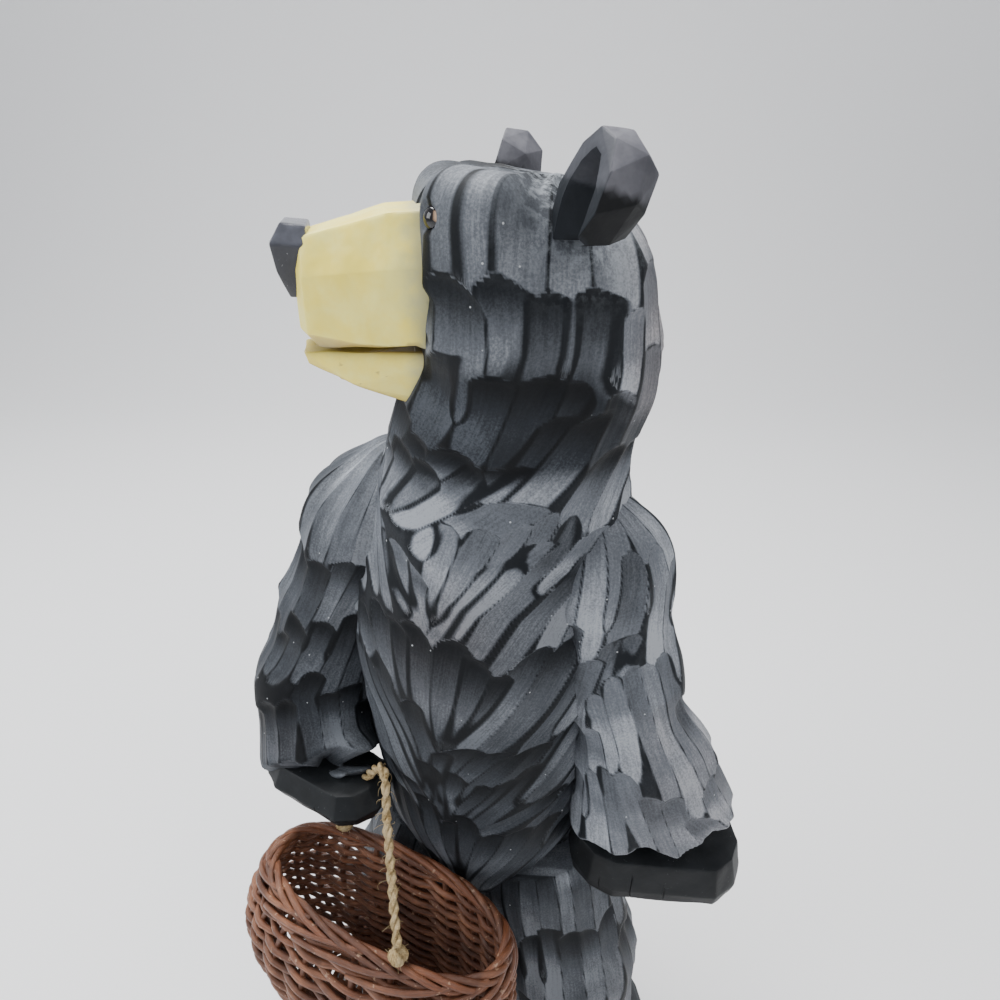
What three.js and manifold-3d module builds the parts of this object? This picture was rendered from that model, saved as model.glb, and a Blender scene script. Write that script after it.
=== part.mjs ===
// A standing bear cast in resin with a carved look, holding a hanging wicker basket on jute twine.
// Millimetres, +Z up, the bear's chest looks along -Y, and the ground is Z = 0.
import * as THREE from "three";
import { ConvexGeometry } from "three/addons/geometries/ConvexGeometry.js";
import { mergeVertices } from "three/addons/utils/BufferGeometryUtils.js";
import Module from "manifold-3d";

const wasm = await Module();
wasm.setup();

// Driving dimensions of the figure
const figureHeight = 560;
const headTurn = 53;
const baseLength = 212;
const baseDepth = 164;
const baseThickness = 16;
const baseCorner = 46;
const baseChamfer = 3;

// Driving dimensions of the carving
const lockWidth = 12;
const lockLength = 29;
const lockDepth = 2.3;
const lockStep = 1.7;
const lockOverlap = 2;
const lockRound = 3;
const lockStagger = 7;

// Driving dimensions of the basket and its twine
const rimLength = 136;
const rimDepth = 54;
const basketHeight = 106;
const basketBulge = 30;
const basketWall = 5;
const weaveRelief = 1.1;
const weaveRows = 12;
const stakeCount = 24;
const borderWidth = 9;
const twineDiameter = 5;
const bailDrop = 64;
const knotDiameter = 11;

// Clearances
const holeClearance = 4;
const bellyClearance = 1.5;
const touchGap = 0.35;

// The figure's own numbers below are millimetres on a bear 560 mm tall, and follow its height
const drawnHeight = 560;
const scale = figureHeight / drawnHeight;

const at = (x, y, z) => new THREE.Vector3(x, y, z).multiplyScalar(scale);
const turn = THREE.MathUtils.degToRad(headTurn);
const headCentre = at(36, 4, 503);
const headForward = new THREE.Vector3(-Math.sin(turn), -Math.cos(turn), 0);
const headLeft = new THREE.Vector3(Math.cos(turn), -Math.sin(turn), 0);
const up = new THREE.Vector3(0, 0, 1);
const cylinderAxis = new THREE.Vector3(0, 1, 0);

// A point of the head: forward, to the bear's left, and up from the middle of the skull
function inHead(forward, left, rise) {
  return headCentre.clone()
    .addScaledVector(headForward, forward * scale)
    .addScaledVector(headLeft, left * scale)
    .addScaledVector(up, rise * scale);
}

// The figure's mass is a set of tapered round limbs that flow into each other
const limbs = [];

function limb(part, from, fromRadius, to, toRadius) {
  const along = to.clone().sub(from);
  const length2 = along.lengthSq();
  const taper = (fromRadius - toRadius) * scale;
  limbs.push({ part, from, along, length2, taper, r0: fromRadius * scale, r1: toRadius * scale });
}

limb("torso", at(8, 10, 200), 47, at(8, 10, 250), 56);
limb("torso", at(8, 10, 250), 56, at(8, 10, 298), 61);
limb("torso", at(8, 10, 298), 61, at(8, 8, 345), 63);
limb("torso", at(8, 8, 345), 63, at(16, 8, 415), 53);
limb("neck", at(16, 8, 415), 53, at(24, 8, 455), 46);
limb("neck", at(24, 8, 455), 46, inHead(-6, 0, -24), 37);
limb("neck", at(14, 2, 432), 44, inHead(26, 0, -34), 30);
limb("torso", at(-32, 4, 392), 34, at(46, 14, 390), 34);
for (const side of [1, -1]) {
  limb(`leg${side}`, at(10 + side * 30, 8, 190), 44, at(8 + side * 51, 6, 120), 43);
  limb(`leg${side}`, at(8 + side * 51, 6, 120), 43, at(8 + side * 57, 4, 62), 41);
}
limb("leftArm", at(48, 10, 410), 24, at(61, 10, 390), 31);
limb("leftArm", at(61, 10, 390), 31, at(75, 8, 340), 27);
limb("leftArm", at(75, 8, 340), 27, at(90, 6, 295), 27);
limb("leftArm", at(86, 2, 295), 25, at(87, 0, 250), 25);
limb("leftArm", at(98, 8, 295), 27, at(120, 12, 250), 25);
limb("rightArm", at(-30, 0, 412), 27, at(-45, -2, 392), 34);
limb("rightArm", at(-45, -2, 392), 34, at(-70, -13, 340), 28);
limb("rightArm", at(-70, -13, 340), 28, at(-80, -28, 300), 28);
limb("rightArm", at(-80, -28, 300), 28, at(-71, -46, 268), 25);
limb("rightArm", at(-64, -44, 268), 22, at(-40, -49, 273), 18);
limb("head", inHead(2, -8, 4), 39, inHead(2, 8, 4), 39);
limb("head", inHead(22, -18, 20), 25, inHead(22, 18, 20), 25);
limb("head", inHead(-6, -8, -20), 34, inHead(-6, 8, -20), 34);
for (const side of [1, -1]) {
  limb("head", inHead(36, side * 20, 36), 9, inHead(28, side * 30, 34), 11);
  limb("head", inHead(22, side * 18, -4), 27, inHead(18, side * 15, -26), 25);
}

// Distance from a point to one limb, negative inside it
function limbDistance(p, m) {
  const x = p.x - m.from.x;
  const y = p.y - m.from.y;
  const z = p.z - m.from.z;
  const run = x * m.along.x + y * m.along.y + z * m.along.z;
  const past = run - m.length2;
  const ox = x * m.length2 - m.along.x * run;
  const oy = y * m.length2 - m.along.y * run;
  const oz = z * m.length2 - m.along.z * run;
  const off2 = ox * ox + oy * oy + oz * oz;
  const run2 = run * run * m.length2;
  const past2 = past * past * m.length2;
  const slant = m.length2 - m.taper * m.taper;
  const edge = Math.sign(m.taper) * m.taper * m.taper * off2;
  if (Math.sign(past) * slant * past2 > edge) return Math.sqrt(off2 + past2) / m.length2 - m.r1;
  if (Math.sign(run) * slant * run2 < edge) return Math.sqrt(off2 + run2) / m.length2 - m.r0;
  return (Math.sqrt(off2 * slant / m.length2) + run * m.taper) / m.length2 - m.r0;
}

const blend = 9 * scale;

// Distance to the smooth mass of some parts of the figure
function massDistance(p, parts) {
  let distance = Infinity;
  for (const m of limbs) {
    if (!parts.includes(m.part)) continue;
    const d = limbDistance(p, m);
    if (distance === Infinity) {
      distance = d;
      continue;
    }
    const near = Math.max(blend - Math.abs(distance - d), 0) / blend;
    distance = Math.min(distance, d) - near * near * blend / 4;
  }
  return distance;
}

// How far out along a ray from a point inside them the surface of some parts lies
function castOut(from, ray, parts) {
  let reach = 110 * scale;
  for (let step = 0; step < 40; step += 1) {
    const gap = massDistance(from.clone().addScaledVector(ray, reach), parts);
    if (gap < 0.05) break;
    reach -= gap;
  }
  return Math.max(reach, 2 * scale);
}

// A closed mesh as a solid, and a solid back as a geometry
function toSolid(geometry) {
  const bare = geometry.clone();
  bare.deleteAttribute("normal");
  bare.deleteAttribute("uv");
  const merged = mergeVertices(bare, 1e-4);
  return new wasm.Manifold(new wasm.Mesh({
    numProp: 3,
    vertProperties: new Float32Array(merged.attributes.position.array),
    triVerts: new Uint32Array(merged.index.array),
  }));
}

function toGeometry(solid) {
  const mesh = solid.getMesh();
  const geometry = new THREE.BufferGeometry();
  geometry.setAttribute("position", new THREE.BufferAttribute(new Float32Array(mesh.vertProperties), 3));
  geometry.setIndex(new THREE.BufferAttribute(new Uint32Array(mesh.triVerts), 1));
  return geometry;
}

const hull = (points) => toSolid(new ConvexGeometry(points));

// A repeatable small variation from -1 to 1
function vary(a, b) {
  const s = Math.sin(a * 12.9898 + b * 78.233) * 43758.5453;
  return 2 * (s - Math.floor(s)) - 1;
}

const front = new THREE.Vector3(0, -1, 0);

// A place on a limb's axis: its centre there, the way down the limb, and the two ways across it
function axisAt(points, run) {
  let left = run * scale;
  let index = 0;
  let length = points[1].distanceTo(points[0]);
  while (left > length && index < points.length - 2) {
    left -= length;
    index += 1;
    length = points[index + 1].distanceTo(points[index]);
  }
  const centre = points[index].clone().lerp(points[index + 1], left / length);
  const tangent = (i) => points[i + 1].clone().sub(points[i]).normalize();
  const here = tangent(index);
  const share = THREE.MathUtils.clamp(left / length, 0, 1);
  const before = index > 0 ? tangent(index - 1).add(here).normalize() : here;
  const after = index < points.length - 2 ? tangent(index + 1).add(here).normalize() : here;
  const down = before.clone().lerp(after, share).normalize();
  const ahead = front.clone().addScaledVector(down, -front.dot(down)).normalize();
  return { centre, ahead, aside: ahead.clone().cross(down) };
}

// One ring of a row of locks: ridges and valleys take turns around the limb
function ring(tube, row, atEnd) {
  const { columns, seed, bunch = 0 } = tube.rows[row];
  const run = atEnd ? tube.rows[row].to : tube.rows[row].from;
  const points = [];
  for (let i = 0; i < 2 * columns; i += 1) {
    const valley = i % 2 === 1;
    const share = (i + (seed % 2) + (valley ? 0 : 0.4 * vary(i, seed))) / (2 * columns);
    const even = 360 * share - bunch * THREE.MathUtils.radToDeg(Math.sin(2 * Math.PI * share));
    const angle = even + (atEnd ? tube.rows[row].sweep(even) : 0);
    const edge = seed + (atEnd ? 1 : 0);
    const stagger = lockStagger * Math.sin(3 * angle * Math.PI / 180 + 2.1 * edge) * (tube.rows[row].calm ? 0 : 1);
    const ragged = atEnd ? 3 * vary(i + 11, seed) : 0;
    const round = valley ? lockRound : 0;
    const place = run + stagger + (atEnd ? lockOverlap + round + ragged : -round * 0.6);
    const proud = (atEnd ? lockStep / 2 : -lockStep / 2) - (valley ? lockDepth * (atEnd ? 0.55 : 1) : 0);
    const { centre, ahead, aside } = axisAt(tube.axis, place);
    const radians = THREE.MathUtils.degToRad(angle);
    const ray = ahead.multiplyScalar(Math.cos(radians)).addScaledVector(aside, Math.sin(radians));
    const reach = castOut(centre, ray, tube.parts) + proud * scale;
    points.push({ angle, point: centre.addScaledVector(ray, Math.max(reach, 1.5 * scale)) });
  }
  return points;
}

// A limb skinned with rows of locks, each sunk where it starts and proud of the next where it ends
function carvedLimb(tube) {
  const rings = tube.rows.flatMap((_, row) => [ring(tube, row, false), ring(tube, row, true)]);
  const points = [];
  const faces = [];
  const first = [];
  for (const list of rings) {
    first.push(points.length);
    points.push(...list.map(({ point }) => point));
  }
  const pick = (r, i) => first[r] + (i % rings[r].length);
  for (let r = 0; r < rings.length - 1; r += 1) {
    const upper = rings[r];
    const lower = rings[r + 1];
    const angleOf = (list, i) => list[i % list.length].angle + 360 * Math.floor(i / list.length);
    let offset = 0;
    let base = 0;
    if (r % 2 === 1) {
      const miss = (j) => Math.abs(THREE.MathUtils.euclideanModulo(lower[j].angle - upper[0].angle + 180, 360) - 180);
      for (let j = 1; j < lower.length; j += 1) if (miss(j) < miss(offset)) offset = j;
      base = Math.round((upper[0].angle - lower[offset].angle) / 360) * 360;
    }
    let i = 0;
    let j = 0;
    while (i < upper.length || j < lower.length) {
      const nextUpper = i < upper.length ? angleOf(upper, i + 1) : Infinity;
      const nextLower = j < lower.length ? angleOf(lower, offset + j + 1) + base : Infinity;
      const goUpper = r % 2 === 0 ? i <= j && i < upper.length : nextUpper < nextLower;
      if (goUpper) {
        faces.push(pick(r, i), pick(r + 1, offset + j), pick(r, i + 1));
        i += 1;
      } else {
        faces.push(pick(r, i), pick(r + 1, offset + j), pick(r + 1, offset + j + 1));
        j += 1;
      }
    }
  }
  const last = rings.length - 1;
  const cap = (list) => list.reduce((sum, { point }) => sum.add(point), new THREE.Vector3()).divideScalar(list.length);
  const topCap = points.push(cap(rings[0])) - 1;
  const endCap = points.push(cap(rings[last])) - 1;
  for (let i = 0; i < rings[0].length; i += 1) faces.push(topCap, pick(0, i), pick(0, i + 1));
  for (let i = 0; i < rings[last].length; i += 1) faces.push(endCap, pick(last, i + 1), pick(last, i));
  const geometry = new THREE.BufferGeometry().setFromPoints(points);
  geometry.setIndex(faces);
  return toSolid(geometry);
}

// Rows of even length down a stretch of limb; girth settles how many locks go around
function evenRows(from, to, girth, seed, options = {}) {
  const { size = 1, bunch = 0, sweep = () => 0 } = options;
  const count = Math.round((to - from) / (lockLength * size));
  const columns = Math.round(girth / (lockWidth * size * (1 + bunch)));
  return Array.from({ length: count }, (_, i) => ({
    from: from + (to - from) * i / count,
    to: from + (to - from) * (i + 1) / count,
    columns,
    seed: seed + i,
    bunch,
    sweep,
  }));
}

const sineOf = (degrees) => Math.sin(THREE.MathUtils.degToRad(degrees));
const wrap = (degrees) => THREE.MathUtils.euclideanModulo(degrees + 180, 360) - 180;
const crownHeight = 546;
const fromCrown = (height) => crownHeight - height;

// Chest and belly locks run down to the middle of the chest, neck locks down to the throat
const chevron = (angle) => -21 * Math.sign(wrap(angle)) * Math.min(1, Math.abs(wrap(angle)) / 40)
  * Math.max(0, Math.min(1, (170 - Math.abs(wrap(angle))) / 70));
const throatSweep = (angle) => -34 * sineOf(angle + headTurn - 10);
const cheekSweep = (angle) => -8 * sineOf(angle + headTurn);

const spine = {
  parts: ["torso", "neck", "head"],
  axis: [at(38, 3, crownHeight), at(36, 4, 503), at(29, 6, 470), at(20, 8, 435), at(9, 9, 395), at(8, 10, 140)],
  rows: [
    { from: fromCrown(543), to: fromCrown(532), columns: 14, seed: 1, sweep: () => 0, calm: true },
    { from: fromCrown(532), to: fromCrown(504), columns: 24, seed: 2, sweep: () => 0 },
    { from: fromCrown(504), to: fromCrown(476), columns: 24, seed: 3, sweep: cheekSweep },
    { from: fromCrown(476), to: fromCrown(456), columns: 18, seed: 4, sweep: (a) => 0.5 * throatSweep(a) },
    { from: fromCrown(456), to: fromCrown(438), columns: 15, seed: 5, sweep: throatSweep },
    { from: fromCrown(438), to: fromCrown(418), columns: 16, seed: 6, sweep: throatSweep },
    ...evenRows(fromCrown(418), fromCrown(166), 2 * Math.PI * 62, 7, { bunch: 0.25, sweep: chevron }),
  ],
};

const leftArm = {
  parts: ["leftArm"],
  axis: [at(52, 11, 424), at(62, 10, 392), at(75, 8, 340), at(91, 5, 295), at(104, 6, 246), at(108, 6, 230)],
  rows: [
    ...evenRows(4, 94, 2 * Math.PI * 29, 30, { sweep: (a) => (Math.abs(wrap(a)) < 90 ? -22 : 10) }),
    ...evenRows(94, 190, 2 * Math.PI * 34, 34, { sweep: (a) => 8 * sineOf(a) }),
  ],
};

const rightArm = {
  parts: ["rightArm"],
  axis: [at(-34, 0, 424), at(-45, -2, 392), at(-70, -13, 340), at(-79, -28, 300), at(-63, -46, 266), at(-60, -49, 260)],
  rows: evenRows(4, 170, 2 * Math.PI * 30, 50, { sweep: () => 6 }),
};

const legOf = (side) => ({
  parts: [`leg${side}`],
  axis: [at(8 + side * 32, 8, 210), at(8 + side * 51, 6, 120), at(8 + side * 57, 4, 62), at(8 + side * 58, 4, 20)],
  rows: evenRows(4, 186, 2 * Math.PI * 43, 70 + side * 8, { size: 1.5, sweep: (a) => -8 * sineOf(a) }),
});

// Pairs of points mirrored across the middle of the head
const paired = (list) => list.flatMap(([a, b, c]) => [inHead(a, b, c), inHead(a, -b, c)]);

const muzzle = hull(paired([
  [34, 20, 34], [34, 29, 18], [34, 29, -9],
  [84, 11, 26], [85, 16, 14], [85, 16, -4], [82, 12, -10], [88, 6, 17], [88, 7, -4],
]));
const jaw = hull(paired([
  [30, 25, -11], [30, 17, -34], [88, 8, -12], [87, 6, -17], [72, 11, -24], [48, 12, -34],
]));
const mouth = hull(paired([
  [96, 40, -10.5], [96, 40, -12], [50, 40, -7], [50, 40, -11.5], [45, 40, -9],
]));
const nose = hull(paired([
  [82, 10, 29], [90, 8, 30], [94, 11, 24], [93, 9, 15], [90, 6, 6], [84, 8, 6], [82, 13, 23],
]));

// An ear is a thick faceted cup that opens forward and a little outward
function ear(side) {
  const place = ([a, b, c]) => inHead(a, side * b, c);
  const shell = hull([
    [9, 33, 27], [6, 36, 42], [1, 42, 53], [-2, 49, 57], [-4, 56, 54], [-1, 62, 46], [3, 63, 36], [7, 56, 27],
    [-2, 38, 28], [-8, 40, 48], [-11, 50, 56], [-12, 60, 50], [-9, 62, 38], [-4, 56, 27],
    [-15, 44, 38], [-17, 49, 49], [-17, 56, 45], [-14, 56, 35], [-11, 50, 28],
  ].map(place));
  const cup = hull([
    [20, 38, 31], [14, 40, 42], [9, 45, 50], [6, 50, 53], [6, 55, 50], [10, 58, 43], [18, 56, 33],
    [-3, 45, 35], [-7, 47, 45], [-9, 52, 47], [-6, 55, 40], [-3, 52, 34],
  ].map(place));
  return { shell, cup };
}

// An eye sits in a shallow socket at the front edge of each side of the head
function eye(side) {
  const within = inHead(20, side * 20, 31);
  const normal = headForward.clone().multiplyScalar(0.86).addScaledVector(headLeft, side * 0.5).normalize();
  const centre = within.clone().addScaledVector(normal, castOut(within, normal, ["head"]));
  const socket = new THREE.SphereGeometry(8 * scale, 8, 6);
  socket.scale(0.9, 0.9, 1.1);
  const hollow = centre.clone().addScaledVector(normal, 4 * scale);
  socket.translate(hollow.x, hollow.y, hollow.z);
  const ball = new THREE.SphereGeometry(5.5 * scale, 10, 8);
  const seat = centre.clone().addScaledVector(normal, -3.2 * scale);
  ball.translate(seat.x, seat.y, seat.z);
  return { socket: toSolid(socket), ball: toSolid(ball) };
}

// The end of a paw: a faceted block around two round limb ends, stepped in towards its flat underside
function pawEnd(first, second, radius, levels) {
  const points = [];
  const sides = 12;
  for (const [height, inset] of levels) {
    for (let i = 0; i < sides; i += 1) {
      const angle = 2 * Math.PI * (i + 0.5) / sides;
      const ray = new THREE.Vector3(Math.cos(angle), Math.sin(angle), 0);
      const centre = first.dot(ray) > second.dot(ray) ? first : second;
      const p = centre.clone().addScaledVector(ray, (radius - inset) * scale);
      p.z = height * scale;
      points.push(p);
    }
  }
  return hull(points);
}

const leftPawEnds = [at(87, 0, 0), at(121, 12, 0)];
const leftPaw = pawEnd(...leftPawEnds, 25, [[250, 3], [230, -0.5], [223, 1], [219, 5]]);
const rightPawEnds = [at(-72, -47, 0), at(-43, -49, 0)];
const rightPaw = pawEnd(...rightPawEnds, 22, [[272, 2], [256, 0], [243, 5], [238, 9]]);

const footHeel = (side) => at(8 + side * 57, 14, 0);
const footToes = (side) => at(8 + side * 61, -46, 0);
const footLevels = [[58, 12], [42, 2], [24, -1], [8, 1]];
const foot = (side) => pawEnd(footToes(side), footHeel(side), 28, footLevels);

// Grooves between the toes, cut down the front of a paw's end
function toeGroove(x, y, z) {
  const groove = new THREE.CylinderGeometry(1.7 * scale, 1.7 * scale, 34 * scale, 4);
  groove.rotateX(Math.PI / 2);
  groove.translate(x * scale, y * scale, z * scale);
  return groove;
}

// A straight twine hole runs through the right paw, from beside the belly down to its underside
const holeDiameter = twineDiameter + holeClearance;
const holeTop = at(-20, -50, 283);
const holeFoot = at(-60, -45, 237);

function holeGeometry() {
  const run = holeFoot.clone().sub(holeTop);
  const drill = new THREE.CylinderGeometry(holeDiameter / 2, holeDiameter / 2, run.length() + 6, 12);
  drill.applyQuaternion(new THREE.Quaternion().setFromUnitVectors(cylinderAxis, run.clone().normalize()));
  const middle = holeTop.clone().lerp(holeFoot, 0.5);
  return drill.translate(middle.x, middle.y, middle.z);
}

// Low base
function baseGeometry() {
  const x = baseLength / 2 - baseChamfer;
  const y = baseDepth / 2 - baseChamfer;
  const r = baseCorner;
  const outline = new THREE.Shape();
  outline.moveTo(-x + r, -y);
  outline.lineTo(x - r, -y);
  outline.absarc(x - r, -y + r, r, -Math.PI / 2, 0);
  outline.absarc(x - r, y - r, r, 0, Math.PI / 2);
  outline.absarc(-x + r, y - r, r, Math.PI / 2, Math.PI);
  outline.absarc(-x + r, -y + r, r, Math.PI, 1.5 * Math.PI);
  const slab = new THREE.ExtrudeGeometry(outline, {
    depth: baseThickness - 2 * baseChamfer,
    bevelEnabled: true,
    bevelThickness: baseChamfer,
    bevelSize: baseChamfer,
    bevelSegments: 1,
    curveSegments: 5,
  });
  slab.translate(0, 0, baseChamfer);
  return slab;
}

const baseMiddle = at(8, -12, 0);
const base = baseGeometry();
base.translate(baseMiddle.x, baseMiddle.y, 0);

function bearSolid() {
  const masses = [spine, leftArm, rightArm, legOf(1), legOf(-1)];
  const ground = new THREE.BoxGeometry(400 * scale, 400 * scale, 80);
  ground.translate(0, 0, baseThickness / 2 - 40);
  let bear = wasm.Manifold.union(masses.map(carvedLimb)).subtract(toSolid(ground));
  for (const side of [1, -1]) {
    const { shell, cup } = ear(side);
    const { socket, ball } = eye(side);
    bear = bear.subtract(socket).add(ball).add(shell).subtract(cup);
  }
  bear = bear.add(muzzle).add(jaw).subtract(mouth).add(nose);
  bear = bear.add(leftPaw).add(rightPaw).add(foot(1)).add(foot(-1));
  for (const [x, y] of [[86, -25.5], [101, -20.5], [116, -15.5]]) {
    bear = bear.subtract(toSolid(toeGroove(x, y, 231)));
  }
  for (const side of [1, -1]) {
    for (const offset of [-11, 0, 11]) {
      bear = bear.subtract(toSolid(toeGroove(8 + side * 61 + offset, -74 + Math.abs(offset) / 5, 26)));
    }
  }
  bear = bear.subtract(toSolid(holeGeometry())).add(toSolid(base));
  const bySize = bear.decompose().sort((a, b) => b.volume() - a.volume());
  return bySize[0];
}

// The basket hangs under the hole, its flat back just clear of the belly
const rimTop = holeTop.z - bailDrop;
const bellyFront = -42 * scale;
const basketBack = bellyFront - bellyClearance;
const basketMiddle = new THREE.Vector3(-10 * scale, basketBack - rimDepth / 2, rimTop);

// A point on the basket's wall: share of the height, turn around it, and distance in from the outside
function basketPoint(share, angle, inset) {
  const belly = Math.sin(Math.PI * Math.min(1, 0.12 + share * 0.88));
  const c = Math.cos(angle);
  const s = Math.sin(angle);
  const foot = 1 - 0.1 * (1 - share) ** 2;
  const halfLength = (rimLength / 2 + belly * basketBulge * (c < 0 ? 0.9 : 0.15)) * foot - inset;
  const swell = s < 0 ? belly * basketBulge * 0.55 : 0;
  const halfDepth = (rimDepth / 2 + swell) * (s < 0 ? foot : 1) - inset;
  const squared = 0.84;
  const x = Math.sign(c) * Math.abs(c) ** squared * halfLength;
  const y = Math.sign(s) * Math.abs(s) ** squared * halfDepth;
  return new THREE.Vector3(basketMiddle.x + x, basketMiddle.y + y, rimTop - basketHeight * (1 - share));
}

function ringSolid(rings, bottom, top) {
  const count = rings[0].length;
  const points = [bottom, ...rings.flat(), top];
  const faces = [];
  const id = (ring, i) => 1 + ring * count + (i % count);
  for (let i = 0; i < count; i += 1) {
    faces.push(0, id(0, i + 1), id(0, i));
    for (let ring = 0; ring < rings.length - 1; ring += 1) {
      const corners = [id(ring, i), id(ring, i + 1), id(ring + 1, i + 1), id(ring + 1, i)];
      const [a, b, c, d] = (i + ring) % 2 ? corners : [...corners.slice(1), corners[0]];
      faces.push(a, b, c, a, c, d);
    }
    faces.push(points.length - 1, id(rings.length - 1, i), id(rings.length - 1, i + 1));
  }
  const geometry = new THREE.BufferGeometry().setFromPoints(points);
  geometry.setIndex(faces);
  return geometry;
}

// Basket: rows of weave that pass in front of and behind the stakes, and a braided border
function basketGeometry() {
  const around = Array.from({ length: stakeCount }, (_, i) => 2 * Math.PI * i / stakeCount);
  const ring = (share, inset, sway, row) => around.map((angle, i) => {
    const over = (i + row) % 2 ? 1 : -1;
    return basketPoint(share, angle, inset - sway * over);
  });
  const borderShare = 1 - borderWidth / basketHeight;
  const floorShare = basketWall / basketHeight;
  const outer = [];
  const inner = [];
  outer.push(ring(0, 6, 0, 0));
  for (let row = 0; row < weaveRows; row += 1) {
    outer.push(ring(0.03 + (borderShare - 0.05) * row / (weaveRows - 1), weaveRelief, weaveRelief, row));
  }
  const border = [
    ring(borderShare, 1, 0.8, 0),
    ring(borderShare + 0.03, -1.4, 0.8, 1),
    ring(1 - 0.012, -0.8, 0.8, 0),
    ring(1, 2.4, 0.6, 1),
    ring(1 - 0.012, basketWall + 1.2, 0.6, 0),
    ring(borderShare, basketWall + 0.6, 0.6, 1),
  ];
  const innerRows = 6;
  for (let row = 0; row < innerRows; row += 1) {
    const share = floorShare + (borderShare - 0.05 - floorShare) * (1 - row / (innerRows - 1));
    inner.push(ring(share, basketWall + weaveRelief, weaveRelief, row));
  }
  const middle = (share) => new THREE.Vector3(basketMiddle.x, basketMiddle.y, rimTop - basketHeight * (1 - share));
  return ringSolid([...outer, ...border, ...inner], middle(0), middle(floorShare));
}

// Twine: a bail from the front of the rim, through the paw, to the back of the rim
const knotRadius = knotDiameter / 2;
const frontAngle = THREE.MathUtils.degToRad(-72);
const backAngle = THREE.MathUtils.degToRad(125);

function knotPlace(angle) {
  const p = basketPoint(1, angle, basketWall / 2);
  p.z = rimTop + knotRadius * 0.8 + touchGap + 0.8;
  return p;
}

function knotGeometry(place) {
  const knot = new THREE.IcosahedronGeometry(knotRadius, 1);
  knot.scale(1, 1, 0.8);
  knot.translate(place.x, place.y, place.z);
  return knot;
}

const knotFront = knotPlace(frontAngle);
const knotBack = knotPlace(backAngle);

function twineGeometry() {
  const lift = (p) => p.clone().setZ(p.z + knotRadius * 0.8 + touchGap + twineDiameter * 0.4);
  const start = lift(knotFront);
  const end = lift(knotBack);
  const route = [
    start,
    start.clone().lerp(holeTop, 0.33),
    start.clone().lerp(holeTop, 0.67),
    holeTop,
    holeTop.clone().lerp(holeFoot, 0.35),
    holeTop.clone().lerp(holeFoot, 0.7),
    holeFoot,
    end,
  ];
  const section = new THREE.Shape();
  const sides = 8;
  for (let i = 0; i < sides; i += 1) {
    const angle = 2 * Math.PI * i / sides;
    const x = Math.cos(angle) * twineDiameter / 2;
    const y = Math.sin(angle) * twineDiameter / 2;
    if (i === 0) section.moveTo(x, y);
    else section.lineTo(x, y);
  }
  return new THREE.ExtrudeGeometry(section, {
    extrudePath: new THREE.CatmullRomCurve3(route, false, "centripetal"),
    steps: 22,
    bevelEnabled: false,
  });
}

const resin = new THREE.MeshStandardMaterial({ color: 0x2e3238, roughness: 0.62, metalness: 0 });
const wicker = new THREE.MeshStandardMaterial({ color: 0x7a4634, roughness: 0.7, metalness: 0 });
const jute = new THREE.MeshStandardMaterial({ color: 0xb59a6a, roughness: 0.95, metalness: 0 });

function named(name, geometry, material) {
  const mesh = new THREE.Mesh(geometry, material);
  mesh.name = name;
  return mesh;
}

const greeter = new THREE.Group();
greeter.add(named("bear", toGeometry(bearSolid()), resin));
greeter.add(named("basket", basketGeometry(), wicker));
greeter.add(named("twine", twineGeometry(), jute));
greeter.add(named("knot_front", knotGeometry(knotFront), jute));
greeter.add(named("knot_back", knotGeometry(knotBack), jute));

export default greeter;
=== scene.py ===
import math

import bmesh
import bpy
import numpy as np
from mathutils import Matrix, Vector


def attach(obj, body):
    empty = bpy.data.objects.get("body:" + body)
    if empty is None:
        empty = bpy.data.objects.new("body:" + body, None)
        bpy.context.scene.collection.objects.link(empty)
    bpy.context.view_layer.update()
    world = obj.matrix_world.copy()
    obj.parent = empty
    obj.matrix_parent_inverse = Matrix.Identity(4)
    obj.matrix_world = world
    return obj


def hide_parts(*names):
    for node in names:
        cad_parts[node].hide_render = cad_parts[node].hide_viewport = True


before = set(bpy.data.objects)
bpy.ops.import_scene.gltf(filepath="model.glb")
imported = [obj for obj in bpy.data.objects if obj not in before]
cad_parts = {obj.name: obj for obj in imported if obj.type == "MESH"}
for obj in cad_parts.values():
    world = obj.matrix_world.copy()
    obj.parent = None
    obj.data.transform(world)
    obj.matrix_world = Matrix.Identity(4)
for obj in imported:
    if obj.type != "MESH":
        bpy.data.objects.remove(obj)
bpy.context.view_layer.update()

# Everything below is worked out in millimetres in the model's own frame, and scaled to metres at the end
MM = 0.001

# The figure
HEAD_TURN = 53
HEAD_CENTRE = np.array([36.0, 4.0, 503.0])
HEAD_MIDDLE = 507
DOME_RADIUS = 47
BASE_LENGTH = 212
BASE_DEPTH = 164
BASE_THICKNESS = 16
BASE_CORNER = 46
BASE_CHAMFER = 3
BASE_MIDDLE = (8.0, -12.0)

# The carving
LOCK_WIDTH = 10.5
LOCK_LENGTH = 45
LOCK_SCOOP = 1.3
LOCK_STEP = 1.9
LOCK_ROUND = 2.4
LOCK_WALL = 0.9
LOCK_STAGGER = 10.5
LOCK_CLUMP = 3
CLUMP_START = 0.38
CLUMP_END = 0.3
HEM_DIVE = -3.0
# How far the limbs blend into each other, how deep a point lies when it isn't built, and the grid's step
BLEND = 9.0
BURIED = -5.0
GRID = 1.15

# The basket and its twine
RIM_LENGTH = 136
RIM_DEPTH = 54
BASKET_HEIGHT = 106
BASKET_BULGE = 30
BASKET_WALL = 5
BORDER_WIDTH = 9
STAKE_COUNT = 24
BELLY_FRONT = -42
BELLY_CLEARANCE = 1.5
TWINE_DIAMETER = 5
BAIL_DROP = 64
KNOT_DIAMETER = 11
TOUCH_GAP = 0.35
HOLE_TOP = np.array([-20.0, -50.0, 283.0])
HOLE_FOOT = np.array([-60.0, -45.0, 237.0])

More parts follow.
